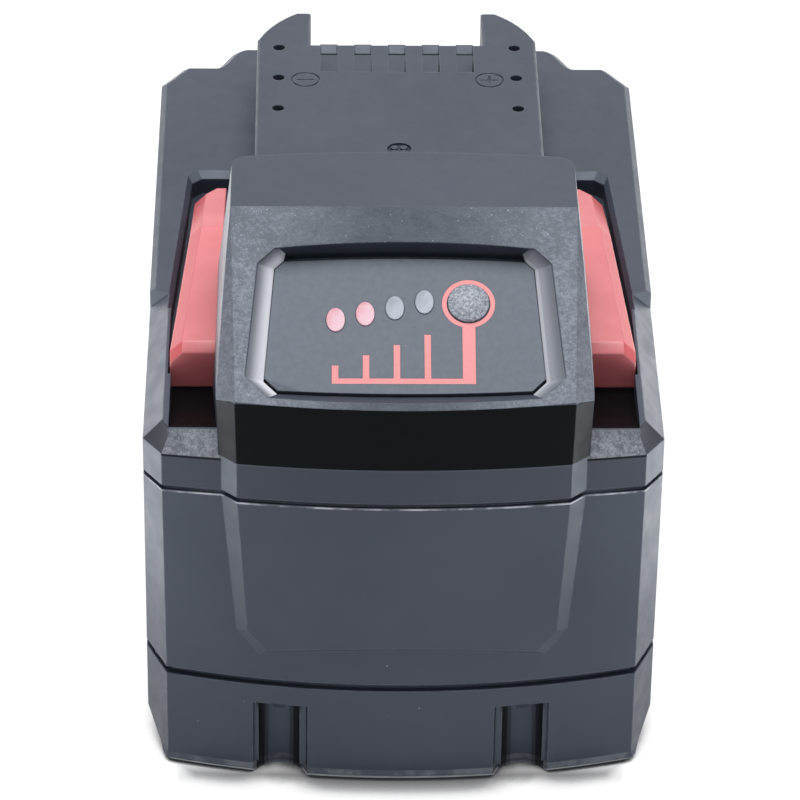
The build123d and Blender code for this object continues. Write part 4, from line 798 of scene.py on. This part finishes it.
def fibre_paper():
    """Insulating fish paper: mottled and matt."""
    material, tree, shader = new_material("insulator_fibre_paper")
    fibre = noise(tree, size_mm=0.8, detail=5, roughness=0.75, stretch=(1, 3, 0.6))
    colour = blend_colours(tree, evened(tree, fibre), rgb(150, 146, 128), rgb(180, 176, 158))
    normal = bumped(tree, fibre, depth_mm=0.04, strength=0.4)
    finish_with(tree, shader, colour, rough=0.85, normal=normal)
    return material


def foam():
    """Dark open-celled foam."""
    material, tree, shader = new_material("pad_foam")
    holes = cells(tree, size_mm=0.6)
    share = ramp(tree, holes, low=0.1, high=0.5)
    colour = blend_colours(tree, share, rgb(28, 28, 30), rgb(62, 62, 66))
    normal = bumped(tree, holes, depth_mm=0.3, strength=0.7)
    finish_with(tree, shader, colour, rough=0.92, normal=normal)
    return material


# The finish of each kind of piece

# Painted highlights along a front edge of the middle housing and of the base
MIDDLE_PAINTED_GLINT = dict(low=54.85, high=55.1, least=0.05, most=0.8)
BOTTOM_PAINTED_GLINT = dict(low=1.0, high=2.0, least=0.02, most=0.16)

top_plastic = housing_plastic("housing_top_plastic", zones=True)
middle_plastic = housing_plastic("housing_middle_plastic", dust_chance=0.096, glint=MIDDLE_PAINTED_GLINT)
bottom_plastic = housing_plastic(
    "housing_bottom_plastic", pockets=True, dust_chance=0.16, glint=BOTTOM_PAINTED_GLINT)
spring_steel = metal(
    "hook_spring_steel", rgb(120, 122, 128), rgb(98, 100, 106), rough=0.5, brushed=(1, 1, 8))
screw_steel = metal("screw_zinc_steel", rgb(150, 152, 156), rgb(122, 124, 128), rough=0.36)
brass = metal(
    "contact_plated_brass", rgb(214, 178, 104), rgb(196, 160, 92), rough=0.26, brushed=(1, 6, 1))
nickel = metal(
    "strip_nickel", rgb(196, 192, 184), rgb(176, 172, 166), rough=0.3, brushed=(6, 1, 1))
pink_lens = lens_plastic(
    "lens_lit_pink", rgb(200, 122, 138), rgb(212, 174, 188), rgb(255, 90, 110), glow=0.03)
grey_lens = lens_plastic("lens_unlit_grey", rgb(116, 124, 138), rgb(152, 160, 174))
switch_plastic = grained_plastic(
    "switch_black_plastic", rgb(30, 30, 32), rgb(40, 40, 43), rough=0.4)
led_plastic = grained_plastic(
    "led_clear_white", rgb(206, 206, 200), rgb(226, 226, 222), rough=0.25)
terminal_plastic = grained_plastic(
    "terminal_block_plastic", rgb(24, 25, 28), rgb(33, 34, 38), rough=0.42, edge=rgb(70, 74, 82))
holder_plastic = grained_plastic(
    "cell_holder_plastic", rgb(46, 47, 50), rgb(58, 59, 62), rough=0.5)

FINISHES = {
    "housing_plastic": top_plastic,
    "gauge_plastic": gauge_plastic(),
    "red_print": print_red(),
    "lit_lens": pink_lens,
    "unlit_lens": grey_lens,
    "button_rubber": cap_rubber(),
    "release_red": release_red(),
    "hook_steel": spring_steel,
    "screw_steel": screw_steel,
    "switch_plastic": switch_plastic,
    "led_plastic": led_plastic,
    "board_green": circuit_board(),
    "terminal_plastic": terminal_plastic,
    "contact_brass": brass,
    "cell_sleeve": cell_sleeve(),
    "holder_plastic": holder_plastic,
    "nickel": nickel,
    "insulator_paper": fibre_paper(),
    "foam": foam(),
}

for piece in nodes.values():
    for slot in piece.material_slots:
        key = slot.material.name.split(".")[0]
        slot.material = FINISHES[key]
nodes["middle_housing"].material_slots[0].material = middle_plastic
nodes["bottom_housing"].material_slots[0].material = bottom_plastic


# Rounded edges on the small pieces that show

BUTTON_ROUNDING = 0.45 * MM
PANEL_ROUNDING = 0.12 * MM
ROUNDING_STEPS = 3
ROUNDING_ANGLE = math.radians(28)
WELD_REACH = 0.01 * MM


def round_edges(piece, width):
    """Joins the split faces, and rounds the piece's sharper edges."""
    weld = piece.modifiers.new("weld", "WELD")
    weld.merge_threshold = WELD_REACH
    bevel = piece.modifiers.new("rounding", "BEVEL")
    bevel.width = width
    bevel.segments = ROUNDING_STEPS
    bevel.limit_method = "ANGLE"
    bevel.angle_limit = ROUNDING_ANGLE
    bevel.harden_normals = True
    bevel.use_clamp_overlap = True


round_edges(nodes["left_release_button"], BUTTON_ROUNDING)
round_edges(nodes["right_release_button"], BUTTON_ROUNDING)
round_edges(nodes["gauge_panel"], PANEL_ROUNDING)


# The thin lip that joins the ribs between the terminal slots at the rear edge

SLOT_COUNT = 5
SLOT_PITCH = 6.0 * MM
SLOT_WIDTH = 3.05 * MM
LIP_HEIGHT = 1.15 * MM
LIP_FRONT_HEIGHT = 0.2 * MM
LIP_DEPTH = 1.7 * MM
LIP_TOP_DEPTH = 0.25 * MM
RAIL_SETBACK = 16.32 * MM
RAIL_TOP = 75.78 * MM


def make_slot_lip():
    """A slim wedge across the rear end of each slot, flush with the rail's top."""
    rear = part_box("top_housing")[1][1] - RAIL_SETBACK
    section = (
        (rear, RAIL_TOP),
        (rear, RAIL_TOP - LIP_HEIGHT),
        (rear - LIP_DEPTH, RAIL_TOP - LIP_HEIGHT),
        (rear - LIP_DEPTH, RAIL_TOP - LIP_HEIGHT + LIP_FRONT_HEIGHT),
        (rear - LIP_TOP_DEPTH, RAIL_TOP),
    )
    build = bmesh.new()
    for index in range(SLOT_COUNT):
        middle_x = (index - (SLOT_COUNT - 1) / 2) * SLOT_PITCH
        left = [build.verts.new((middle_x - SLOT_WIDTH / 2, y, z)) for y, z in section]
        right = [build.verts.new((middle_x + SLOT_WIDTH / 2, y, z)) for y, z in section]
        build.faces.new(left)
        build.faces.new(right)
        for corner in range(len(section)):
            after = (corner + 1) % len(section)
            build.faces.new((left[corner], left[after], right[after], right[corner]))
    bmesh.ops.recalc_face_normals(build, faces=build.faces)
    mesh = bpy.data.meshes.new("terminal_slot_lip")
    build.to_mesh(mesh)
    build.free()
    lip = bpy.data.objects.new("terminal_slot_lip", mesh)
    bpy.context.collection.objects.link(lip)
    mesh.materials.append(top_plastic)
    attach(lip, "pack")


make_slot_lip()


# The return springs of the release buttons


def make_return_spring(side):
    """A coil that is pressed against the rib inside the block by its release button."""
    node = nodes[side + "_release_spring"]
    spring = bpy.data.objects.new(side + "_return_spring", node.data.copy())
    bpy.context.collection.objects.link(spring)
    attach(spring, "pack")
    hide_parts(side + "_release_spring")
    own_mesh(spring)


make_return_spring("left")
make_return_spring("right")


# The table. What the camera sees of it is a dim paint and a white glow, and what lights the
# pack from below is plain white. The glow fades close to the pack, which leaves a soft shadow:
# wide in front of the pack, and narrow beside and behind it.

WHITE = (1, 1, 1, 1)
TABLE_HALF = 6.0
TABLE_REFLECTED = (0.86, 0.86, 0.87, 1)
TABLE_PAINT = (0.18, 0.18, 0.19, 1)
SHADOW_REACH = 6.5 * MM
SHADOW_SAMPLES = 8
SHADOW_BEHIND = (1, 7)
SHADOW_BESIDE = (32, 38.5)
CONTACT = 1.0 * MM


def table_glow(tree):
    """How brightly the table glows, less where the pack stands close to it."""
    open_air = tree.nodes.new("ShaderNodeAmbientOcclusion")
    open_air.samples = SHADOW_SAMPLES
    open_air.inputs["Distance"].default_value = SHADOW_REACH
    share = open_air.outputs["AO"]
    near = ramp(tree, share, low=0.42, high=0.80, end=0.24)
    far = ramp(tree, share, low=0.78, high=0.93, end=0.71)
    narrow = ramp(tree, share, low=0.40, high=0.56, end=0.95)
    at = position(tree)
    behind = over_mm(tree, at["Y"], SHADOW_BEHIND, base=front)
    beside = over_mm(tree, plain_size(tree, at["X"]), SHADOW_BESIDE)
    in_strip = times(tree, greatest(tree, behind, beside), narrow)
    return greatest(tree, sums(tree, "ADD", near, far), in_strip)


def make_table():
    """A white table that keeps the pack's soft shadow and can be looked through from below.
    It lets light through where the pack stands on it, so that the underside isn't black."""
    mesh = bpy.data.meshes.new("table")
    corners = [(x, y, 0) for x, y in ((-1, -1), (1, -1), (1, 1), (-1, 1))]
    mesh.from_pydata([Vector(corner) * TABLE_HALF for corner in corners], [], [(0, 1, 2, 3)])
    table = bpy.data.objects.new("table", mesh)
    bpy.context.collection.objects.link(table)
    material = bpy.data.materials.new("table_white")
    material.use_nodes = True
    tree = material.node_tree
    tree.nodes.clear()
    output = tree.nodes.new("ShaderNodeOutputMaterial")
    reflected = tree.nodes.new("ShaderNodeBsdfDiffuse")
    reflected.inputs["Color"].default_value = TABLE_REFLECTED
    paint = tree.nodes.new("ShaderNodeBsdfDiffuse")
    paint.inputs["Color"].default_value = TABLE_PAINT
    glow = tree.nodes.new("ShaderNodeEmission")
    glow.inputs["Color"].default_value = WHITE
    feed(tree, glow.inputs["Strength"], table_glow(tree))
    shown = tree.nodes.new("ShaderNodeAddShader")
    tree.links.new(paint.outputs["BSDF"], shown.inputs[0])
    tree.links.new(glow.outputs["Emission"], shown.inputs[1])
    rays = tree.nodes.new("ShaderNodeLightPath").outputs
    seen = greatest(
        tree, rays["Is Camera Ray"], rays["Is Glossy Ray"], rays["Is Transmission Ray"])
    both = tree.nodes.new("ShaderNodeMixShader")
    feed(tree, both.inputs["Fac"], seen)
    tree.links.new(reflected.outputs["BSDF"], both.inputs[1])
    tree.links.new(shown.outputs["Shader"], both.inputs[2])
    clear = tree.nodes.new("ShaderNodeBsdfTransparent")
    geometry = tree.nodes.new("ShaderNodeNewGeometry")
    touching = sums(tree, "LESS_THAN", rays["Ray Length"], CONTACT)
    choice = tree.nodes.new("ShaderNodeMixShader")
    feed(tree, choice.inputs["Fac"], greatest(tree, geometry.outputs["Backfacing"], touching))
    tree.links.new(both.outputs["Shader"], choice.inputs[1])
    tree.links.new(clear.outputs["BSDF"], choice.inputs[2])
    tree.links.new(choice.outputs["Shader"], output.inputs["Surface"])
    mesh.materials.append(material)
    table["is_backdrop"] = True


make_table()


# The surroundings and the lamps

WORLD_REFLECTED = 1.1
WORLD_LIGHT = 0.35
PACK_MIDDLE = (0, 0, 0.05)
OVERHEAD_PLACE = (0, 0, 1.3)
OVERHEAD_SIZE = (1.0, 0.9)
CARD_ASIDE = 0.3
CARD_BACK = 0.12
CARD_LEVEL = 0.002
CARD_SIZE = (0.44, 0.6)


def make_world():
    """White surroundings: full white where they are seen, softer as light."""
    world = bpy.data.worlds.new("studio")
    bpy.context.scene.world = world
    world.use_nodes = True
    tree = world.node_tree
    tree.nodes.clear()
    output = tree.nodes.new("ShaderNodeOutputWorld")
    sky = tree.nodes.new("ShaderNodeBackground")
    sky.inputs["Color"].default_value = WHITE
    rays = tree.nodes.new("ShaderNodeLightPath").outputs
    glossy = times(tree, rays["Is Glossy Ray"], WORLD_REFLECTED)
    strength = greatest(
        tree, rays["Is Camera Ray"], rays["Is Transmission Ray"], glossy, WORLD_LIGHT)
    feed(tree, sky.inputs["Strength"], strength)
    tree.links.new(sky.outputs["Background"], output.inputs["Surface"])


def lamp(name, place_at, aim, size, watts):
    """A soft rectangular lamp that isn't seen itself."""
    light = bpy.data.lights.new(name, "AREA")
    light.shape = "RECTANGLE"
    light.size, light.size_y = size
    light.energy = watts
    holder = bpy.data.objects.new(name, light)
    bpy.context.collection.objects.link(holder)
    holder.location = place_at
    direction = Vector(aim) - Vector(place_at)
    holder.rotation_mode = "QUATERNION"
    holder.rotation_quaternion = direction.to_track_quat("-Z", "Y")
    holder.visible_camera = False


def upward_card(name, x, watts):
    """A lamp on the table beside the pack, facing straight up."""
    place_at = Vector((x, CARD_BACK, CARD_LEVEL))
    lamp(name, place_at, place_at + Vector((0, 0, 1)), CARD_SIZE, watts)


make_world()
lamp("overhead_softbox", OVERHEAD_PLACE, PACK_MIDDLE, OVERHEAD_SIZE, watts=15)
upward_card("left_card", -CARD_ASIDE, watts=2.0)
upward_card("right_card", CARD_ASIDE, watts=2.1)


# The camera, for a picture of 800 by 800 pixels

FRAME_PIXELS = 800
SENSOR_WIDTH = 36
FOCAL_PIXELS = 4700.0
CAMERA_DISTANCE = 738 * MM
CAMERA_RISE = math.radians(33.5)
CAMERA_TURN = math.radians(-1.2)
CAMERA_ROLL = math.radians(0.8)
PIVOT_LEVEL = 74.24 * MM
PIVOT_PIXELS = (5.7, -11.0)
NEAREST_SEEN = 0.01
FARTHEST_SEEN = 50


def make_camera():
    """The photograph's long lens, above the gauge end."""
    back = Vector((
        math.sin(CAMERA_TURN) * math.cos(CAMERA_RISE),
        -math.cos(CAMERA_TURN) * math.cos(CAMERA_RISE),
        math.sin(CAMERA_RISE),
    ))
    level = Vector((math.cos(CAMERA_TURN), math.sin(CAMERA_TURN), 0))
    upward = back.cross(level)
    right = level * math.cos(CAMERA_ROLL) + upward * math.sin(CAMERA_ROLL)
    up = upward * math.cos(CAMERA_ROLL) - level * math.sin(CAMERA_ROLL)
    aside, above = (pixels / FOCAL_PIXELS for pixels in PIVOT_PIXELS)
    pivot = Vector((0, front, PIVOT_LEVEL))
    at = pivot + (back - right * aside - up * above) * CAMERA_DISTANCE
    data = bpy.data.cameras.new("camera")
    data.sensor_width = SENSOR_WIDTH
    data.lens = FOCAL_PIXELS / FRAME_PIXELS * SENSOR_WIDTH
    data.clip_start = NEAREST_SEEN
    data.clip_end = FARTHEST_SEEN
    camera = bpy.data.objects.new("camera", data)
    bpy.context.collection.objects.link(camera)
    turned = Matrix((right, up, back)).transposed().to_4x4()
    camera.matrix_world = Matrix.Translation(at) @ turned
    bpy.context.scene.camera = camera


make_camera()
bpy.context.scene.view_settings.view_transform = "Standard"

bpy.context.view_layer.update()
